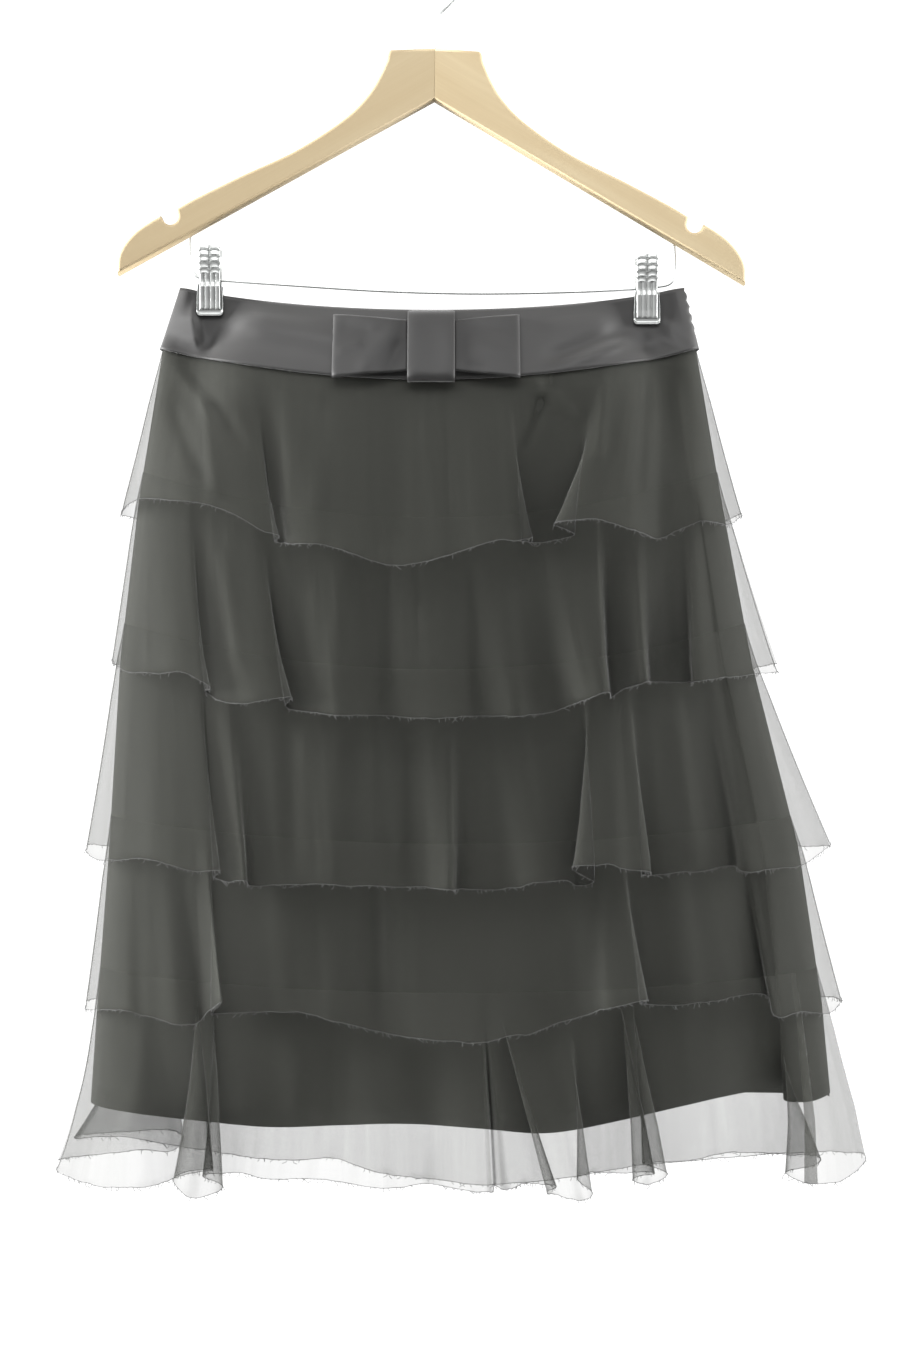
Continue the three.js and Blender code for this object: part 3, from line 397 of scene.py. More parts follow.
def give(obj, name, values):
    layer = obj.data.attributes.new(name, "FLOAT", "POINT")
    layer.data.foreach_set("value", np.concatenate([values, values]))


def kept_to_side(points, half_space):
    """Holds points back from the plane between front and back."""
    points[:, :, 1] = half_space * np.maximum(points[:, :, 1] * half_space, SIDE)
    return points


def shell(name, outer, thickness, material, half_space=0):
    """A closed thin shell under a grid of outer points, with a UV map in metres."""
    down, across = outer.shape[:2]
    inner = outer - normals_of(outer) * thickness
    if half_space:
        inner = kept_to_side(inner, half_space)
    u = lengths_along(outer[down // 2])
    v = np.cumsum(np.linalg.norm(np.diff(outer, axis=0), axis=2), axis=0)
    v = np.concatenate([np.zeros((1, across)), v])
    uv = np.stack([np.broadcast_to(u, (down, across)), -v], axis=-1).reshape(-1, 2) * MM
    verts = np.concatenate([outer.reshape(-1, 3), inner.reshape(-1, 3)])
    faces = sheet_faces(down, across)
    obj = make_object(name, verts, faces.tolist(), np.concatenate([uv, uv]), material)
    rims = len(faces) - 2 * (down - 1) * (across - 1)
    obj.data.polygons.foreach_set("use_smooth", [True] * (len(faces) - rims) + [False] * rims)
    give(obj, "fold", creased(outer).reshape(-1))
    # hollow carries the organza's painted shade, deep between folds.
    give(obj, "hollow", hollowed(outer).reshape(-1))
    return obj


def tubes(name, paths, radius, material, sides):
    """Closed round threads along paths of points."""
    verts, faces, base = [], [], 0
    turn = 2 * math.pi * np.arange(sides) / sides
    for path in paths:
        p = np.asarray(path, float)
        tangent = unit(np.gradient(p, axis=0))
        side = np.cross(tangent, np.array([0.0, 1.0, 0.0]))
        weak = np.linalg.norm(side, axis=1) < 0.2
        side[weak] = np.cross(tangent[weak], np.array([1.0, 0.0, 0.0]))
        side = unit(side)
        other = np.cross(side, tangent)
        ring = np.cos(turn)[None, :, None] * side[:, None] + np.sin(turn)[None, :, None] * other[:, None]
        verts.append((p[:, None] + ring * radius).reshape(-1, 3))
        faces.extend((grid_faces(len(p), sides, closed=True) + base).tolist())
        faces.append([base + s for s in range(sides)])
        faces.append([base + (len(p) - 1) * sides + s for s in reversed(range(sides))])
        base += len(p) * sides
    return make_object(name, np.concatenate(verts), faces, None, material)


# -------- materials


class Nodes:
    """A short way to write the nodes of a material or a world."""

    def __init__(self, owner):
        owner.use_nodes = True
        self.tree = owner.node_tree

    def put(self, socket, value):
        if isinstance(value, bpy.types.NodeSocket):
            self.tree.links.new(value, socket)
        else:
            socket.default_value = value

    def add(self, kind, inputs=None, **settings):
        node = self.tree.nodes.new(kind)
        for key, value in settings.items():
            setattr(node, key, value)
        for key, value in (inputs or {}).items():
            self.put(node.inputs[key], value)
        return node

    def math(self, operation, a, b=0.0, clamp=False):
        return self.add("ShaderNodeMath", {0: a, 1: b}, operation=operation, use_clamp=clamp).outputs[0]

    def plus(self, a, b, clamp=False):
        return self.math("ADD", a, b, clamp)

    def times(self, a, b):
        return self.math("MULTIPLY", a, b)

    def scaled(self, value, factor, offset=0.0):
        return self.plus(self.times(value, factor), offset)


class Material(Nodes):
    def __init__(self, name):
        self.material = bpy.data.materials.new(name)
        super().__init__(self.material)
        self.bsdf = self.tree.nodes["Principled BSDF"]

    def mix(self, factor, a, b):
        return self.add("ShaderNodeMix", {0: factor, 6: a, 7: b}, data_type="RGBA").outputs[2]

    def greys(self, factor, low, high, tint=(1.0, 1.0, 1.0)):
        """A grey between two values, as the factor goes from 0 to 1."""
        return self.mix(factor, grey(low, tint), grey(high, tint))

    def set(self, **values):
        for key, value in values.items():
            self.put(self.bsdf.inputs[key.replace("_", " ")], value)

    def bump(self, height, strength, distance):
        node = self.add("ShaderNodeBump", {"Height": height, "Strength": strength, "Distance": distance})
        self.tree.links.new(node.outputs["Normal"], self.bsdf.inputs["Normal"])

    def uv(self):
        return self.add("ShaderNodeUVMap", uv_map="cloth").outputs["UV"]

    def attribute(self, name):
        return self.add("ShaderNodeAttribute", attribute_name=name).outputs["Fac"]

    def object_point(self):
        return self.add("ShaderNodeTexCoord").outputs["Object"]

    def noise(self, vector, scale, detail=3.0, roughness=0.5):
        """Noise of one scale, or of a scale for each direction."""
        if isinstance(scale, tuple):
            vector = self.add("ShaderNodeMapping", {"Vector": vector, "Scale": scale}).outputs["Vector"]
            scale = 1.0
        inputs = {"Vector": vector, "Scale": scale, "Detail": detail, "Roughness": roughness}
        return self.add("ShaderNodeTexNoise", inputs).outputs["Fac"]

    def weave(self, vector, pitch):
        """A plain weave, from 0 between the threads to 1 on their crossings, with threads pitch apart."""
        split = self.add("ShaderNodeSeparateXYZ", {"Vector": vector})
        warp = self.math("SINE", self.times(split.outputs["X"], 2 * math.pi / pitch))
        weft = self.math("SINE", self.times(split.outputs["Y"], 2 * math.pi / pitch))
        return self.scaled(self.plus(warp, weft), 0.25, 0.5)


def grey(value, tint):
    return (value * tint[0], value * tint[1], value * tint[2], 1.0)


GREENISH = (0.975, 1.0, 0.87)
PLAIN = (1.0, 0.985, 0.975)
STEELY = (0.975, 1.0, 0.985)
THREAD_PITCH = 0.00055


def organza_material(name, value, passes, fold_stops):
    """A sheer cloth. passes is the share of light that one layer lets through, and it has two faces."""
    m = Material(name)
    uv = m.uv()
    weave = m.weave(uv, THREAD_PITCH)
    slubs = m.noise(uv, (30.0, 700.0, 1.0), 2.0)
    haze = m.noise(uv, (9.0, 3.0, 1.0), 2.0)
    streaks = m.noise(uv, (120.0, 5.0, 1.0))
    fold = m.attribute("fold")
    hollow = m.attribute("hollow")
    tone = m.plus(m.scaled(slubs, 0.3), m.scaled(streaks, 0.7))
    lit = m.greys(tone, value * 0.75, value * 1.25, GREENISH)
    # Painted shade: deep in the hollows between folds the colour goes towards near black. It also darkens,
    # by half at most, along sharp fold lines.
    hollow_shade_and_fold_dark = m.plus(m.scaled(hollow, 0.75), m.scaled(fold, 0.5), clamp=True)
    m.set(Base_Color=m.mix(hollow_shade_and_fold_dark, lit, grey(0.01, GREENISH)))
    cover = m.plus(m.scaled(weave, 0.06, 0.93), m.scaled(slubs, 0.08, 0.0))
    cover = m.times(cover, m.scaled(m.plus(haze, streaks), 0.45, 0.55))
    stops = m.scaled(cover, 1 - math.sqrt(passes))
    # The hollows are a little more opaque too: partly the denser look of steep flanks, partly painted shade
    # with the darkened colour.
    stops = m.plus(stops, m.scaled(hollow, 0.05))
    m.set(Alpha=m.plus(stops, m.times(fold, fold_stops), clamp=True))
    m.set(Roughness=0.7, Specular_IOR_Level=0.15, Sheen_Weight=0.8, Sheen_Roughness=0.3)
    m.set(Sheen_Tint=(1, 1, 1, 1))
    crinkle = m.noise(uv, (45.0, 20.0, 1.0), roughness=0.6)
    m.bump(m.plus(crinkle, m.scaled(streaks, 0.6)), 0.8, 0.0055)
    return m.material


def underskirt_material():
    m = Material("underskirt_cloth")
    uv = m.uv()
    tone = m.noise(uv, (12.0, 5.0, 1.0))
    m.set(Base_Color=m.greys(tone, 0.040, 0.052, GREENISH))
    m.set(Roughness=0.75, Specular_IOR_Level=0.2, Sheen_Weight=0.08, Sheen_Roughness=0.5)
    m.bump(tone, 0.2, 0.001)
    return m.material


def satin_material(name, value):
    m = Material(name)
    uv = m.uv()
    cloud = m.noise(uv, (10.0, 30.0, 1.0))
    slubs = m.noise(uv, (60.0, 900.0, 1.0), 2.0)
    m.set(Base_Color=m.greys(cloud, value * 0.8, value * 1.2, PLAIN))
    m.set(Roughness=m.scaled(cloud, 0.12, 0.46))
    m.set(Specular_IOR_Level=0.35, Sheen_Weight=0.3, Sheen_Roughness=0.4, Anisotropic=0.4)
    m.bump(m.plus(m.scaled(slubs, 0.1), cloud), 0.35, 0.0012)
    return m.material


def thread_material(name, value, alpha):
    m = Material(name)
    tone = m.noise(m.object_point(), 900.0, 2.0)
    m.set(Base_Color=m.greys(tone, value * 0.75, value * 1.25))
    m.set(Roughness=0.6, Specular_IOR_Level=0.3, Alpha=alpha)
    return m.material


def wood_material():
    m = Material("wood")
    split = m.add("ShaderNodeSeparateXYZ", {"Vector": m.object_point()})
    # the grain runs down each arm, and the left arm is a little darker than the right
    away = m.math("ABSOLUTE", split.outputs["X"])
    along = m.plus(m.scaled(away, 0.87), m.scaled(split.outputs["Z"], -0.5))
    across = m.plus(m.scaled(away, 0.5), m.scaled(split.outputs["Z"], 0.87))
    left = m.math("GREATER_THAN", 0.0, split.outputs["X"])
    depth = m.plus(split.outputs["Y"], m.scaled(left, 0.37))
    point = m.add("ShaderNodeCombineXYZ", {"X": along, "Y": across, "Z": depth}).outputs[0]
    broad = m.noise(point, (4.0, 26.0, 20.0), 2.0, 0.5)
    streak = m.noise(point, (5.0, 150.0, 110.0), 3.0, 0.6)
    fine = m.noise(point, (20.0, 900.0, 700.0), 3.0, 0.6)
    base = m.mix(broad, (0.68, 0.53, 0.31, 1), (0.90, 0.79, 0.55, 1))
    grained = m.mix(m.scaled(streak, 0.55), base, (0.52, 0.36, 0.175, 1))
    shaded = m.mix(m.scaled(left, 0.5), grained, (0.50, 0.40, 0.25, 1))
    m.set(Base_Color=m.mix(m.scaled(fine, 0.14), shaded, (0.38, 0.25, 0.12, 1)))
    m.set(Roughness=m.scaled(fine, 0.15, 0.5), Specular_IOR_Level=0.3)
    return m.material


def steel_material(name, value, roughness):
    m = Material(name)
    scratch = m.noise(m.object_point(), (900.0, 900.0, 120.0))
    m.set(Base_Color=m.greys(scratch, value * 0.94, value * 1.04, STEELY))
    m.set(Roughness=m.scaled(scratch, 0.12, roughness), Metallic=1.0)
    m.bump(scratch, 0.05, 0.0002)
    return m.material


def floor_material():
    m = Material("floor")
    tone = m.noise(m.object_point(), 6.0, 2.0)
    m.set(Base_Color=m.greys(tone, 0.80, 0.86), Roughness=0.8)
    return m.material


LAYER_PASSES = 0.7
SEAM_PASSES = 0.38
ORGANZA = organza_material("organza", 0.1, LAYER_PASSES, 0.25)
SEAM_CLOTH = organza_material("organza_seam", 0.1, SEAM_PASSES, 0.2)
UNDER_CLOTH = underskirt_material()
SATIN_CLOTH = satin_material("satin", 0.055)
# The bow is the waistband's own satin in a darker copy: painted shade, for the way its cloth turns from the
# light.
SHADED_BOW_SATIN = satin_material("satin_bow_shaded", 0.035)
FRAY = thread_material("fray", 0.15, 0.8)
WOOD = wood_material()
STEEL = steel_material("steel", 0.47, 0.3)
WIRE = steel_material("steel_wire", 0.8, 0.34)

# -------- flounces and under-skirt

FINE = 8  # columns from each fold line to the next
BACK_FINE = 12
UNDERSKIRT_FINE = 10
ROWS = 30
UNDERSKIRT_ROWS = 34


def with_side(points, half_space):
    """Turns a depth into Y on one side of the plane between front and back."""
    out = points.copy()
    out[:, :, 1] = half_space * np.maximum(points[:, :, 1], SIDE)
    return out


def smoothed(t):
    return t * t * (3 - 2 * t)


# The share of its length over which a crease rises, the slope of its fall, and its height at its end.
CREASE_RISES, CREASE_FALLS, CREASE_END = 0.35, 0.3, 0.6


def folded(points, creases):
    """Adds creases, each a line from (x1, z1) to (x2, z2) that stands depth out over a half width."""
    x, z = points[:, :, 0], points[:, :, 2]
    for x1, z1, x2, z2, depth, width in creases:
        length = math.hypot(x2 - x1, z2 - z1)
        ux, uz = (x2 - x1) / length, (z2 - z1) / length
        along = (x - x1) * ux + (z - z1) * uz
        off = (x - x1) * uz - (z - z1) * ux
        starts = share(along / (CREASE_RISES * length))
        ends = share((length - along) / (CREASE_FALLS * length) + CREASE_END)
        points[:, :, 1] += depth * smoothed(starts * ends) * np.exp(-((off / width) ** 2))
    return points


# How many small waves are added up, their pitch, and how far from a side they fade, in fold lines.
WAVES, WAVE_PITCH, WAVE_FADE = 9, (0.7, 3.5), 1.5


def uneven(points, ways, columns, amount, seed):
    """Small soft waves that grow down a panel, different on each."""
    wave = np.random.default_rng(seed)
    at = columns.at[None, :]
    total = np.zeros(points.shape[:2])
    for _ in range(WAVES):
        pitch = wave.uniform(*WAVE_PITCH)
        phase = wave.uniform(0, 6.3) + ways[:, None] * wave.uniform(-1.5, 1.5)
        total += wave.uniform(-1, 1) * np.sin(at * 2 * math.pi / pitch + phase)
    edge = share(np.minimum(at, at[0, -1] - at) / WAVE_FADE)
    points[:, :, 1] += amount * total / 3 * edge * ways[:, None] ** 1.2
    return points


def hem_ravel(points, amount, seed):
    """Makes the raw bottom edge a little uneven."""
    wave = np.random.default_rng(seed)
    count = points.shape[1]
    rough = np.convolve(wave.normal(0, 1, count + 8), np.ones(5) / 5, mode="same")[4:-4]
    points[-1, :, 2] += rough * amount
    points[-2, :, 2] += rough * amount * 0.4
    return points


FRAY_RADIUS, FRAY_SHORTEST, FRAY_LONGEST = 0.21, 0.3, 2.8
FRAY_ROOT, FRAY_NEAREST = 0.4, 0.6  # how far above the edge a thread starts, and from the one before it
FRAY_LENGTHS, FRAY_SPACES = (1.4, 0.8), (1.5, 1.6)  # as a gamma distribution's shape and scale


def fray(name, hem, out, seed):
    """Loose threads along a raw edge, and the thread that has slipped along it."""
    wave = np.random.default_rng(seed)
    total = lengths_along(hem)

    def at(values, place):
        return np.array([np.interp(place, total, values[:, k]) for k in range(3)])

    paths = []
    place = 2.0
    while place < total[-1] - 2:
        start = at(hem, place)
        ahead = at(hem, place + 1) - start
        reach = min(wave.gamma(*FRAY_LENGTHS) + FRAY_SHORTEST, FRAY_LONGEST)
        tip = start + ahead * wave.normal(0, 0.8) * reach + at(out, place) * wave.normal(0.1, 0.3) * reach
        tip[2] -= reach
        middle = (start + tip) / 2 + ahead * wave.normal(0, 0.3) * reach
        start[2] += FRAY_ROOT
        paths.append([start, middle, tip])
        place += wave.gamma(*FRAY_SPACES) + FRAY_NEAREST
    edge = hem + out * 0.1
    edge[:, 2] += 0.2 + np.convolve(wave.normal(0, 0.35, len(edge) + 4), np.ones(3) / 3, mode="same")[2:-2]
    paths.append(edge)
    return tubes(name, paths, FRAY_RADIUS, FRAY, sides=3)


# Creases of the front panels: x1, z1, x2, z2, how far out, half width.
CREASES = {
    "flounce_1_front": (
        (-190, -306, -150, -352, 3.6, 5), (-176, -312, -132, -372, -3.2, 5.5),
        (-188, -330, -160, -392, -2.6, 5), (-165, -315, -150, -400, 2.8, 5),
        (-60, -322, -78, -415, 1.4, 12), (-20, -325, -24, -440, -1.6, 16),
        (60, -318, 98, -350, 3.2, 4.5), (84, -318, 60, -372, -3.0, 5), (120, -310, 112, -380, 2.6, 5),
        (150, -310, 140, -400, -2.6, 5), (168, -312, 176, -400, 2.4, 4.5),
    ),
    "flounce_2_front": (
        (-60, -420, -66, -530, 1.8, 8), (-30, -420, -34, -550, -2.0, 7), (24, -430, 28, -550, -1.6, 6),
        (-150, -430, -136, -520, 1.4, 6), (160, -430, 166, -520, -1.4, 6),
    ),
    "flounce_3_front": (
        (-64, -540, -70, -660, 1.6, 9), (-100, -540, -98, -660, -1.6, 8),
        (-16, -540, -18, -660, -1.8, 8), (166, -540, 178, -650, 1.4, 8),
    ),
    "flounce_4_front": (
        (-110, -650, -104, -750, 1.6, 8), (-40, -650, -40, -765, -2.0, 5),
        (-80, -650, -80, -750, -1.4, 9), (60, -650, 66, -760, -1.8, 9), (170, -650, 178, -745, 1.2, 8),
    ),
    "flounce_5_front": (
        (-200, -750, -206, -850, 1.2, 7), (-100, -760, -92, -865, 1.4, 10),
        (-60, -760, -54, -865, -1.4, 9), (120, -760, 126, -850, -1.2, 9),
        (190, -750, 198, -850, 1.2, 9),
    ),
    "underskirt_front": (
        (-60, -560, -70, -840, -2.0, 14), (-20, -520, -24, -838, 1.6, 10),
        (100, -560, 120, -830, -2.0, 12), (150, -560, 180, -822, 1.6, 10),
    ),
}


def seeded_creases(z_top, z_foot, half, seed):
    """Uneven creases for a panel that isn't seen from the front."""
    wave = np.random.default_rng(seed)
    out = []
    x = -half + 14
    while x < half - 14:
        lean = wave.uniform(-14, 14)
        top = z_top - wave.uniform(4, 30)
        foot = z_foot + wave.uniform(4, 40)
        depth = wave.choice([-1, 1]) * wave.uniform(0.7, 1.6)
        out.append((x, top, x * 1.08 + lean, foot, depth, wave.uniform(5, 11)))
        x += wave.uniform(20, 46)
    return out


def in_place_of(obj, node):
    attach(obj, "root")
    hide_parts(node)


def cloth(node, points, thickness, material, half_space=0):
    """Puts a cloth piece in place of its solid."""
    obj = shell(node + "_cloth", points, thickness, material, half_space)
    in_place_of(obj, node)
    return obj


def seam_strip(name, points, columns, half_space, parent):
    """The allowances of a side seam: a strip of the panel's own grid, just inside it."""
    outer = points[:, columns] - normals_of(points)[:, columns] * (SHEER + 0.15)
    shell(name, kept_to_side(outer, half_space), SHEER, SEAM_CLOTH, half_space).parent = parent


def columns_within(points, reach, at_end):
    """The columns that lie within a distance of a panel's first or last column, at mid height."""
    middle = points[points.shape[0] // 2]
    total = lengths_along(middle)
    near = total[-1] - total <= reach if at_end else total <= reach
    found = np.flatnonzero(near)
    return slice(found[0], found[-1] + 1)


ALLOWANCE = 6  # width of a flounce's side seam
LOBE_SEAM = (-3.15, -2.6)  # where the lowest flounce's right seam runs, in fold lines from the last


def flounce_panel(number, side, front_rows, seam, back_hem, back_folds):
    back, lowest = side == "back", number == len(FLOUNCES)
    node = f"flounce_{number}_{side}"
    half_space = HALF_SPACE[side]
    hem_ring = (front_rows[0][1], front_rows[-1][1])
    ways = np.linspace(0, 1, ROWS)
    if not back:
        columns = fold_columns(front_rows, seam_ring(seam, SEWN), hem_ring, FINE)
        creases = CREASES[node]
    else:
        if lowest:
            columns = turned_to_back(fold_columns(back_folds, seam_ring(seam, SEWN), hem_ring, FINE))
        else:
            columns = back_columns(back_hem, back_folds)
        creases = seeded_creases(seam[0] - seam[1], back_hem[0] - back_hem[1], hem_ring[1] - 20, 40 + number)
    if number == 1:
        seam = (seam[0] + TUCK, seam[1])
    gap = (FLUSH + (SEWN - FLUSH) * share(3 * ways))[:, None]
    points = panel_points(columns, seam, hem_ring, ways, gap, FLARE, back, LATE_SPREAD if lowest else 0)
    points = uneven(points, ways, columns, amount=0.7, seed=10 * number + back)
    points = hem_ravel(folded(points, creases), amount=0.9, seed=100 * number + back)
    points = with_side(points, half_space)
    obj = cloth(node, points, SHEER, ORGANZA, half_space)
    fray(node + "_fray", points[-1], normals_of(points)[-1], 7 * number + back).parent = obj
    if back:
        return
    seam_strip(node + "_seam_left", points, columns_within(points, ALLOWANCE, False), half_space, obj)
    if lowest:
        from_last = columns.at - columns.at[-1]
        found = np.flatnonzero((from_last >= LOBE_SEAM[0]) & (from_last <= LOBE_SEAM[1]))
        last = slice(found[0], found[-1] + 1)
    else:
        last = columns_within(points, ALLOWANCE, True)
    seam_strip(node + "_seam_right", points, last, half_space, obj)


for number, flounce in enumerate(FLOUNCES, 1):
    flounce_panel(number, "front", *flounce)
    flounce_panel(number, "back", *flounce)

# The under-skirt's back: how deep its folds are, how many, in how many spans, and its hem (height, sag).
BACK_FOLD, BACK_WAVES, BACK_SPANS, BACK_HEM = 5, 9, 22, (-828, 6)


def underskirt():
    seam = (WAIST_SEAM[0] + TUCK, WAIST_SEAM[1])
    hem_ring = (UNDERSKIRT_FRONT[0][1], UNDERSKIRT_FRONT[-1][1])
    front = fold_columns(UNDERSKIRT_FRONT, seam_ring(seam, UNDER), hem_ring, UNDERSKIRT_FINE)
    at = places(BACK_SPANS, 8)
    angle = math.pi * (1 + at / BACK_SPANS)
    out = -BACK_FOLD * np.sin(angle) ** 2 * (1 + np.cos(BACK_WAVES * angle))
    back = Columns(angle, angle, out, seam_height(BACK_HEM, angle), at)
    back_creases = seeded_creases(z_top=-420, z_foot=-820, half=220, seed=5)
    rows = np.linspace(0, 1, UNDERSKIRT_ROWS)
    halves = (("front", front, CREASES["underskirt_front"]), ("back", back, back_creases))
    for side, columns, creases in halves:
        half_space = HALF_SPACE[side]
        points = panel_points(columns, seam, hem_ring, rows, UNDER, UNDERSKIRT_FLARE, side == "back")
        points = with_side(folded(points, creases), half_space)
        node, rests_on = "underskirt_" + side, ("waistband_" + side,)
        cloth(node, points, LINING, UNDER_CLOTH, half_space)


underskirt()

# -------- waistband


def top_depth(angle):
    across = -np.cos(angle)
    first, last = CLIP_ACROSS[0] + HALF_JAW, CLIP_ACROSS[1] - HALF_JAW
    between = share((across - first) / (last - first))
    left = share((across + 1) / (CLIP_ACROSS[0] - HALF_JAW + 1))
    right = share((1 - across) / (1 - CLIP_ACROSS[1] - HALF_JAW))
    bow = BULGE * np.sin(math.pi * between) ** BULGE_POWER
    loop = LOOP * (np.sin(math.pi * left) + np.sin(math.pi * right))
    round_side = np.minimum(1, (np.abs(np.sin(angle)) / WAIST_TURN[0]) ** WAIST_TURN[1])
    return round_side * (SIDE + SATIN_WALL + bow + loop)


def waistband_depth(angle, way, back):
    seam_z = seam_height(WAIST_SEAM, angle)
    seam_depth = body_depth(angle, seam_z, back) + risen_gap(SEWN, angle)
    opened = way ** (1 + SHUT * near_clip(-np.cos(angle)))
    top = top_depth(angle)
    return top + (seam_depth - top) * opened


def waistband_points(angle, way, back):
    seam_z = seam_height(WAIST_SEAM, angle)
    top_x = WAIST_EDGE[0] + (WAIST_EDGE[1] - WAIST_EDGE[0]) * (1 - np.cos(angle)) / 2
    x = top_x + (body_across(angle, seam_z, SEWN) - top_x) * way
    z = seam_height(WAIST_TOP, angle) * (1 - way) + seam_z * way
    return np.stack([x, waistband_depth(angle, way, back), z], axis=2)


# The clips pull the cloth into these folds.
WAISTBAND_CREASES = (
    (-152, -276, -60, -296, 5.0, 11), (-159, -282, -158, -322, -1.2, 4.5),
    (144, -290, 88, -317, 3.4, 5), (144, -281, 82, -307, -3.4, 5.5), (130, -275, 80, -283, 1.0, 5.5),
    (158, -276, 182, -296, 0.9, 3.5), (156, -284, 180, -308, -0.9, 4), (150, -284, 150, -324, -2.0, 5),
)


# Beside the left clip the waistband turns back: a flat strip, up to a ridge. The ridge's height over the
# cloth, how far it takes to fall on the other side, over which heights it grows at its two ends, and where
# it is at each level.
RIDGE_HIGH, RIDGE_FALL, RIDGE_GROWS = 6, 7, (20, 12)
RIDGE_LEVELS = (-320, -300, -277, -256)
RIDGE_X = (-167, -168, -171.5, -174)


def ridge(points):
    x, z, depth = points[:, :, 0], points[:, :, 2], points[:, :, 1]
    at = np.interp(z, RIDGE_LEVELS, RIDGE_X)
    end = x[:, :1]
    window = share((RIDGE_LEVELS[-1] - z) / RIDGE_GROWS[0])
    window = window * share((z - z[-1:]) / RIDGE_GROWS[1])
    high = np.array([np.interp(a[0], row_x, row) for a, row_x, row in zip(at, x, depth)])[:, None]
    high = high + RIDGE_HIGH * window
    strip = SIDE + (high - SIDE) * share((x - end) / (at - end)) ** 0.9
    fall = share(1 - (x - at) / RIDGE_FALL)
    slope = depth + RIDGE_HIGH * window * smoothed(fall)
    return depth + (np.where(x < at, strip, slope) - depth) * window


# The zip's seam at the right side draws the edge in and out: how far, over what pitch, how far across the
# waves reach, and where they have faded, with the height over which they fade.
ZIP_WAVE, ZIP_PITCH, ZIP_REACH, ZIP_END = 0.7, 7.5, 0.02, (-290, 10)


def waistband():
    way = np.linspace(0, 1, 21)[:, None]
    for side, start in (("front", 0.0), ("back", math.pi)):
        back, node = side == "back", "waistband_" + side
        angle = (start + math.pi * np.linspace(0, 1, 221))[None, :]
        points = waistband_points(angle, way, back)
        z = points[:, :, 2]
        right_side = np.exp(-(((-np.cos(angle) - 1) / ZIP_REACH) ** 2))
        waves = np.sin((z - WAIST_TOP[0]) * 2 * math.pi / ZIP_PITCH)
        points[:, :, 0] += right_side * ZIP_WAVE * waves * share((z - ZIP_END[0]) / ZIP_END[1])
        creases = WAISTBAND_CREASES
        if back:
            creases = seeded_creases(z_top=-262, z_foot=-318, half=150, seed=3)
        held = share(way * 4) * share((1 - way) * 6)  # the edges stay flat
        flat = points[:, :, 1].copy()
        points[:, :, 1] = flat + (folded(points.copy(), creases)[:, :, 1] - flat) * held
        if not back:
            points[:, :, 1] = ridge(points)
        points[:, 0, 1] = points[:, -1, 1] = SIDE
        turned = points[-1:] + [0, FLUSH - SEWN, 0]  # the lower edge is turned in
        points = with_side(np.concatenate([points, turned]), HALF_SPACE[side])
        thickness = SATIN * np.clip(8 * (1 - np.append(way, 1)), 0.1, 1)[:, None, None]
        cloth(node, points, thickness, SATIN_CLOTH, HALF_SPACE[side])


waistband()


def off_waistband(x, z, off):
    """A point moved out from the front of the waistband."""
    angle = angle_across(x, WAIST_EDGE)
    top, seam_z = seam_height(WAIST_TOP, angle), seam_height(WAIST_SEAM, angle)
    way = share((top - z) / (top - seam_z))
    left = WAIST_EDGE[0] + (body_across(np.zeros_like(seam_z), seam_z, SEWN) - WAIST_EDGE[0]) * way
    right = WAIST_EDGE[1] + (body_across(np.full_like(seam_z, math.pi), seam_z, SEWN) - WAIST_EDGE[1]) * way
    angle = angle_across(x, (left, right))
    depth = waistband_depth(angle, way, np.zeros_like(angle, dtype=bool))
    return np.stack([x, -(depth + off), z], axis=-1)


BOW_TOP, BOW_BOTTOM, BOW_NARROWING, BOW_GAP = -276, -323, 5, 0.4
# Each loop from above, across and out from the waistband, and below them the band from the side.
LEFT_LOOP = (
    (-18, 0.4), (-42, 0.4), (-65, 0.5), (-70, 1.9), (-71.3, 4), (-69.6, 6), (-62, 7.6), (-44, 8.4),
    (-18, 6),
)
RIGHT_LOOP = (
    (13, 6), (34, 8.2), (50, 7.5), (57.5, 6), (59.3, 4), (58, 1.9), (53, 0.5), (36, 0.4), (13, 0.4),
)
BOW_BAND = (-19, 14)
BOW_BAND_FOOT, BOW_BAND_TALL = -326, 52
BAND_PLEATS, BAND_PLEAT = (2.4, 0.4), 0.45  # half waves across it and where they start, and their height
BAND_ROUNDING = 1.6  # how much lower its side edges are
BOW_BAND_SECTION = (
    (-273.5, 1.2), (-273.5, 5), (-277, 9), (-288, 10.6), (-300, 11), (-313, 10.6), (-322.5, 9),
    (-326, 5), (-326, 0.4),
)
LOOP_CREASES = {
    "bow_loop_left": (
        (-22, -279, -50, -316, 1.8, 6), (-20, -292, -34, -322, -1.6, 5), (-70, -305, -52, -300, 0.9, 3),
        (-68, -284, -46, -290, -0.8, 6),
    ),
    "bow_loop_right": (
        (18, -300, 54, -306, 1.2, 8), (16, -284, 50, -288, -0.7, 6), (16, -314, 34, -318, -0.8, 4),
    ),
}


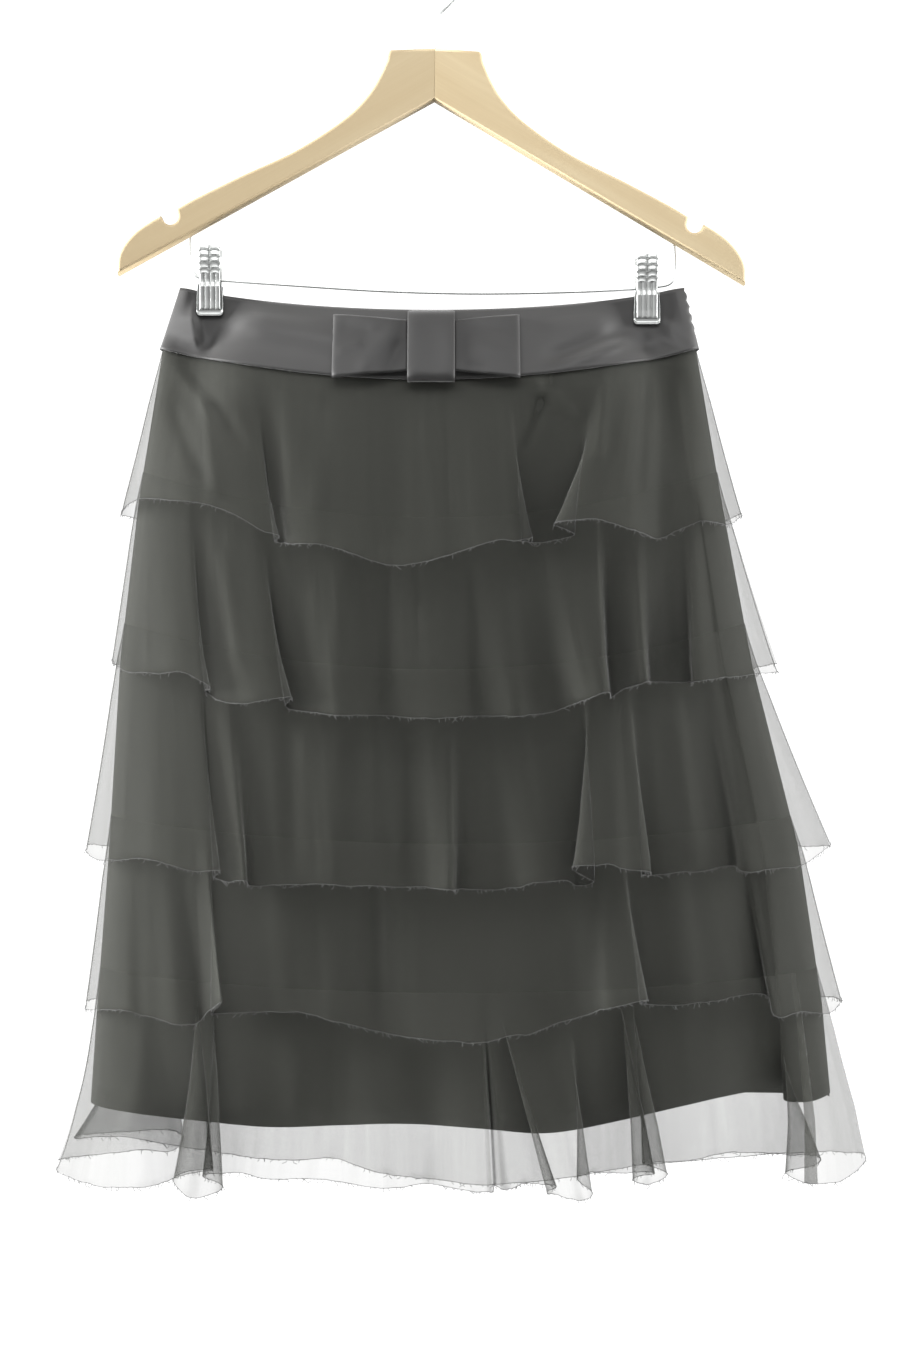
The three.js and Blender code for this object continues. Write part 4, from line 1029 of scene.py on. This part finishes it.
def bow():
    for node, rows in (("bow_loop_left", LEFT_LOOP), ("bow_loop_right", RIGHT_LOOP)):
        knot = rows[0][0]
        path = smooth_curve(rows, np.linspace(0, 1, 90))
        tip = max(abs(x - knot) for x, _ in rows)
        x, off = path[:, 0][None, :], np.maximum(path[:, 1], BOW_GAP)[None, :]
        gathered = BOW_NARROWING * (1 - np.abs(x - knot) / tip)
        way = np.linspace(0, 1, 24)[:, None]
        z = (BOW_TOP - gathered) * (1 - way) + (BOW_BOTTOM + gathered) * way
        x, off = np.broadcast_to(x, z.shape), np.broadcast_to(off, z.shape)
        points = off_waistband(x, z, off)
        outside = share(off / 3 - 1)  # the creases are on the loop's outer side only
        moved = folded(np.stack([x, np.zeros_like(z), z], axis=2), LOOP_CREASES[node])[:, :, 1]
        points[:, :, 1] -= moved * outside
        cloth(node, points, SATIN, SHADED_BOW_SATIN)
    down, over = 60, 30
    section = smooth_curve(BOW_BAND_SECTION, np.linspace(0, 1, down))
    z = np.broadcast_to(section[:, 0][:, None], (down, over))
    x = np.broadcast_to(np.linspace(*BOW_BAND, over)[None, :], (down, over))
    across = (x - BOW_BAND[0]) / (BOW_BAND[1] - BOW_BAND[0])
    soft = np.sin(math.pi * share((z - BOW_BAND_FOOT) / BOW_BAND_TALL))
    pleat = BAND_PLEAT * np.sin(across * math.pi * BAND_PLEATS[0] + BAND_PLEATS[1]) * soft
    off = section[:, 1][:, None] + pleat - BAND_ROUNDING * (2 * across - 1) ** 6
    points = off_waistband(x, z, np.maximum(off, BOW_GAP))
    cloth("bow_band", points, SATIN, SHADED_BOW_SATIN)


bow()

# -------- hanger

HANGER_TOP = -85.4
HANGER_TILT = math.radians(0.9)
# The arms and the hook: across and up from the middle of the hanger's top edge, before it is tilted.
ARM_THICKNESS = 12
ARM_BEVEL = 2.2
ARM_CORNER = ((30.8, -1.6), (32.4, -2.4), (33.2, -4.2))
ARM_TOP = ((34, -9), (38.8, -20), (46, -32.5), (60, -48), (96, -73), (137, -93), (170, -110), (181, -116.5))
ARM_TIP = ((192, -121.5), (200.5, -126.5), (210, -133.5), (217, -141.5), (221.5, -150.5), (222.3, -163.4))
ARM_FORK = -36
NOTCH = (185.6, -122, 5.6)
NOTCH_ARC = (150, 330)
MITRE = 0.02  # half the gap between the arms
MITRE_PAST = -1.95  # the outline runs past the mitre, so that the rounded edge is cut short there


def hung(x, y, z):
    """Points measured from the middle of the hanger's top edge, tilted and put in their place."""
    cos, sin = math.cos(HANGER_TILT), math.sin(HANGER_TILT)
    return np.stack([x * cos + z * sin, y, -x * sin + z * cos + HANGER_TOP], axis=1)


def arm_outline(side):
    turn = np.radians(np.linspace(*NOTCH_ARC, 16))
    outline = [(MITRE_PAST, 0.0), *ARM_CORNER]
    outline += smooth_curve(ARM_TOP, np.linspace(0, 1, 60)).tolist()
    outline += [(NOTCH[0] + NOTCH[2] * math.cos(t), NOTCH[1] + NOTCH[2] * math.sin(t)) for t in turn]
    outline += smooth_curve(ARM_TIP, np.linspace(0, 1, 30)).tolist()
    outline += [(MITRE_PAST, ARM_FORK)]
    return [(side * x, z) for x, z in outline]


def arm(node, side):
    """A wooden arm: its outline given thickness, with rounded edges."""
    curve = bpy.data.curves.new(node + "_outline", "CURVE")
    curve.dimensions = "2D"
    curve.fill_mode = "BOTH"
    curve.extrude = (ARM_THICKNESS / 2 - ARM_BEVEL) * MM
    curve.bevel_depth = ARM_BEVEL * MM
    curve.offset = -ARM_BEVEL * MM
    curve.bevel_resolution = 3
    outline = arm_outline(side)
    line = curve.splines.new("POLY")
    line.points.add(len(outline) - 1)
    line.use_cyclic_u = True
    for point, (x, z) in zip(line.points, outline):
        point.co = (x * MM, z * MM, 0, 1)
    flat = bpy.data.objects.new(node + "_flat", curve)
    bpy.context.scene.collection.objects.link(flat)
    bpy.context.view_layer.update()
    mesh = bpy.data.meshes.new_from_object(flat)
    bpy.data.objects.remove(flat)
    joined = bmesh.new()
    joined.from_mesh(mesh)
    bmesh.ops.remove_doubles(joined, verts=joined.verts, dist=0.01 * MM)
    bmesh.ops.recalc_face_normals(joined, faces=joined.faces)
    joined.to_mesh(mesh)
    joined.free()
    verts = np.array([v.co for v in mesh.vertices]) / MM
    faces = [list(p.vertices) for p in mesh.polygons]
    bpy.data.meshes.remove(mesh)
    verts[:, 0] = side * np.maximum(side * verts[:, 0], MITRE)
    stood = hung(verts[:, 0], -verts[:, 2], verts[:, 1])
    obj = make_object(node + "_wood", stood, faces, None, WOOD)
    for polygon in obj.data.polygons:
        polygon.use_smooth = abs(polygon.normal.y) < 0.99  # the two broad faces stay flat
    in_place_of(obj, node)


arm("hanger_arm_left", -1)
arm("hanger_arm_right", 1)

HOOK_WIRE, HOOK_RADIUS, HOOK_LEAN = 2.8, 26, -0.96
HOOK_ARC, HOOK_STEP = (-45, 200), 24.5
HOOK_STEM = ((0, 0.3), (0, 12), (0.4, 22), (3, 26.5), (10, 33.6))
BAR_WIRE = 2
BAR_ROUTE = (
    (-173.4, -217.8), (-172.8, -236), (-170.6, -244.4), (-165.5, -247.4), (-150, -248.9), (-96, -252.6),
    (-35, -256.4), (30, -258), (100, -256.8), (142, -254.8), (158, -253.3), (166.6, -251),
    (169.8, -245.6), (169.6, -223.6),
)


def wires():
    centre = -HANGER_TOP - (HOOK_RADIUS - HOOK_WIRE / 2)
    turn = np.radians(np.arange(HOOK_ARC[0], HOOK_ARC[1] + 0.1, HOOK_STEP))
    bend = np.stack([HOOK_LEAN + HOOK_RADIUS * np.cos(turn), centre + HOOK_RADIUS * np.sin(turn)], axis=1)
    route = smooth_curve(np.vstack([np.array(HOOK_STEM, float), bend]), np.linspace(0, 1, 160))
    hook = hung(route[:, 0], np.zeros(len(route)), route[:, 1])
    route = smooth_curve(BAR_ROUTE, np.linspace(0, 1, 200))
    bar = np.stack([route[:, 0], np.zeros(len(route)), route[:, 1]], axis=1)
    for node, path, wire in (("hanger_hook", hook, HOOK_WIRE), ("clip_bar", bar, BAR_WIRE)):
        obj = tubes(node + "_wire", [path], wire / 2, WIRE, sides=20)
        in_place_of(obj, node)


wires()

# -------- clips

# Each clip: where it is across, and the height of the bar in it.
CLIPS = (("left", -159.4, -248.0), ("right", 150.0, -254.1))
# How far a jaw's inner face is from the middle, at each height from the bar.
JAW_UP = (22.3, 17.5, 12.5, 8, 3.5, -1, -6, -11, -16.5, -26)
JAW_IN = (8.6, 8.2, 7.2, 5.6, 4.4, 4, 4.2, 3.7, 3.2, 3.1)
PLATE = {"half": 7.5, "top": 22.3, "foot": -22.4, "wall": 1.0, "ribs_end": 3.8, "lift": 0.9, "edge": 0.5}
LIP = {"half": 9.3, "top": -4.5, "foot": -26.4, "wall": 0.7, "corner": 2.4, "rim": 1.0, "taper": 0.9}
RIM_SIDE, RIM_FOOT = 0.9, 1.1  # how wide the lip's turned edge is
RIB_PITCH, RIB_HIGH, RIB_RISES = 4.3, 1.2, 0.72  # a rib rises over the last's share of its pitch
RIB_ARCH = 1.1  # how much higher a rib is in the middle than at its ends
FLUTES, FLUTE_HIGH = 4, 0.75


def jaw_inside(up):
    return np.interp(up, JAW_UP[::-1], JAW_IN[::-1])


def plate_mesh(clip_x, wire_z, side, across, up, inside, outside):
    """A closed plate from a grid of places, with the distances of its two faces from the middle."""
    x = clip_x - side * across
    front = np.stack([x, side * outside, wire_z + up], axis=2)
    back = np.stack([x, side * inside, wire_z + up], axis=2)
    return np.concatenate([front.reshape(-1, 3), back.reshape(-1, 3)]), sheet_faces(*x.shape)


def jaw(name, clip_x, wire_z, side):
    """A pressed steel jaw: a ribbed and fluted plate on a wider lip with a turned edge."""
    u = np.linspace(-1, 1, 97)[None, :]
    up = np.linspace(PLATE["top"], PLATE["foot"], 180)[:, None]
    u, up = np.broadcast_arrays(u, up)
    column = share(1 - np.abs(2 * (np.abs(u) - 0.5)) ** 2.5)  # 1 in the middle of each of two columns
    phase = ((PLATE["top"] - up + RIB_ARCH * column) / RIB_PITCH) % 1
    rise, fall = (phase / RIB_RISES) ** 1.4, (1 - phase) / (1 - RIB_RISES)
    rib = RIB_HIGH * column**0.5 * np.where(phase < RIB_RISES, rise, fall)
    flute = FLUTE_HIGH * np.abs(np.sin((u + 1) * math.pi * FLUTES / 2)) ** 0.7
    to_flutes = share((PLATE["ribs_end"] - up) / 0.8)
    foot_round = share((up - PLATE["foot"]) / 1.2) ** 0.5
    relief = (rib * (1 - to_flutes) + flute * to_flutes) * foot_round
    edge = PLATE["edge"] * share((np.abs(u) - 0.93) / 0.07) ** 2
    inside = jaw_inside(up) + PLATE["lift"] * share(-up / 3 - 1)  # the plate lies on the lip
    outside = inside + PLATE["wall"] + relief - edge
    plate = plate_mesh(clip_x, wire_z, side, u * PLATE["half"], up, inside, outside)

    v = np.linspace(0, 1, 70)[:, None]
    u = np.linspace(-1, 1, 61)[None, :]
    half = LIP["half"] - LIP["taper"] * (1 - v) ** 2 + 0 * u
    drop = LIP["corner"] * (1 - np.sqrt(share(1 - share((np.abs(u) - 0.75) / 0.25) ** 2)))
    up = LIP["top"] + (LIP["foot"] + drop - LIP["top"]) * v
    to_side = (1 - np.abs(u)) * half
    to_foot = up - LIP["foot"] - drop
    turned = np.exp(-((to_side / RIM_SIDE) ** 2)) + np.exp(-((to_foot / RIM_FOOT) ** 2))
    rim = LIP["rim"] * np.minimum(turned, 1)
    inside = jaw_inside(up) + 0 * u
    lip = plate_mesh(clip_x, wire_z, side, u * half, up, inside, inside + LIP["wall"] + rim)
    verts = np.concatenate([plate[0], lip[0]])
    faces = np.concatenate([plate[1], lip[1] + len(plate[0])])
    return make_object(name, verts, faces.tolist(), None, STEEL)


for clip_name, clip_x, wire_z in CLIPS:
    for part, side in (("front_jaw", -1), ("back_jaw", 1)):
        node = f"clip_{clip_name}_{part}"
        in_place_of(jaw(node + "_steel", clip_x, wire_z, side), node)
    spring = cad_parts[f"clip_{clip_name}_spring"]
    spring.data.materials.clear()
    spring.data.materials.append(STEEL)

# -------- floor, light and camera

FLOOR_Z, FLOOR_RADIUS, FLOOR_SIDES = -1330, 760, 96


def floor():
    turn = 2 * math.pi * np.arange(FLOOR_SIDES) / FLOOR_SIDES
    x, y = FLOOR_RADIUS * np.cos(turn), FLOOR_RADIUS * np.sin(turn)
    verts = np.stack([x, y, np.full(FLOOR_SIDES, FLOOR_Z)], axis=1)
    make_object("floor", verts, [list(range(FLOOR_SIDES))], None, floor_material())


floor()


def area_light(name, location, target, size, power):
    data = bpy.data.lights.new(name, "AREA")
    data.shape = "RECTANGLE"
    data.size, data.size_y = size
    data.energy = power
    obj = bpy.data.objects.new(name, data)
    obj.location = location
    obj.rotation_euler = (Vector(target) - Vector(location)).to_track_quat("-Z", "Y").to_euler()
    bpy.context.scene.collection.objects.link(obj)


area_light("key", (-2.5, -0.16, -0.05), (0, 0, -0.5), (0.8, 1.6), 190)
area_light("fill", (2.5, -0.16, -0.05), (0, 0, -0.5), (0.8, 1.6), 105)
area_light("top", (0.0, -0.7, 0.35), (0, 0, -0.45), (1.2, 0.4), 5.5)
area_light("behind", (0.0, 2.4, 0.0), (0, 0, -0.55), (3.0, 2.4), 20)

# The studio's walls are white. They are brighter to the eye and in gloss than as light on the cloth.
# They are darker towards the ground, and in gloss towards the right, which gives the steel its shape.
WALLS_SEEN, WALLS_IN_GLOSS, WALLS_AS_LIGHT = 1.32, 0.66, 0.24
GLOSS_SLOPE = (-0.45, 0.0, 0.75)
LIGHT_SLOPE = (0.0, 0.0, 0.2)
world = bpy.data.worlds.new("studio")
bpy.context.scene.world = world
sky = Nodes(world)
sky.tree.nodes.clear()
ray = sky.add("ShaderNodeLightPath").outputs
toward = sky.add("ShaderNodeTexCoord").outputs["Generated"]


def sloped(level, slope):
    """A strength that changes with the direction in which a ray leaves."""
    across = sky.add("ShaderNodeVectorMath", {0: toward, 1: slope}, operation="DOT_PRODUCT")
    return sky.plus(across.outputs["Value"], level, clamp=True)


def white(strength):
    return sky.add("ShaderNodeBackground", {"Color": (1, 1, 1, 1), "Strength": strength}).outputs[0]


shown = white(sloped(WALLS_AS_LIGHT, LIGHT_SLOPE))
walls = (("Is Glossy Ray", sloped(WALLS_IN_GLOSS, GLOSS_SLOPE)), ("Is Camera Ray", WALLS_SEEN))
for kind, strength in walls:
    shown = sky.add("ShaderNodeMixShader", {0: ray[kind], 1: shown, 2: white(strength)}).outputs[0]
sky.add("ShaderNodeOutputWorld", {"Surface": shown})

scene = bpy.context.scene
scene.view_settings.view_transform = "Standard"
scene.cycles.transparent_max_bounces = 48  # a ray can pass through many layers of organza

camera_data = bpy.data.cameras.new("camera")
camera_data.lens = 56.1
camera_data.sensor_width = 36
camera = bpy.data.objects.new("camera", camera_data)
camera.location = (0.012, -1.5, -0.531)
camera.rotation_euler = (math.pi / 2, 0, 0)
scene.collection.objects.link(camera)
scene.camera = camera
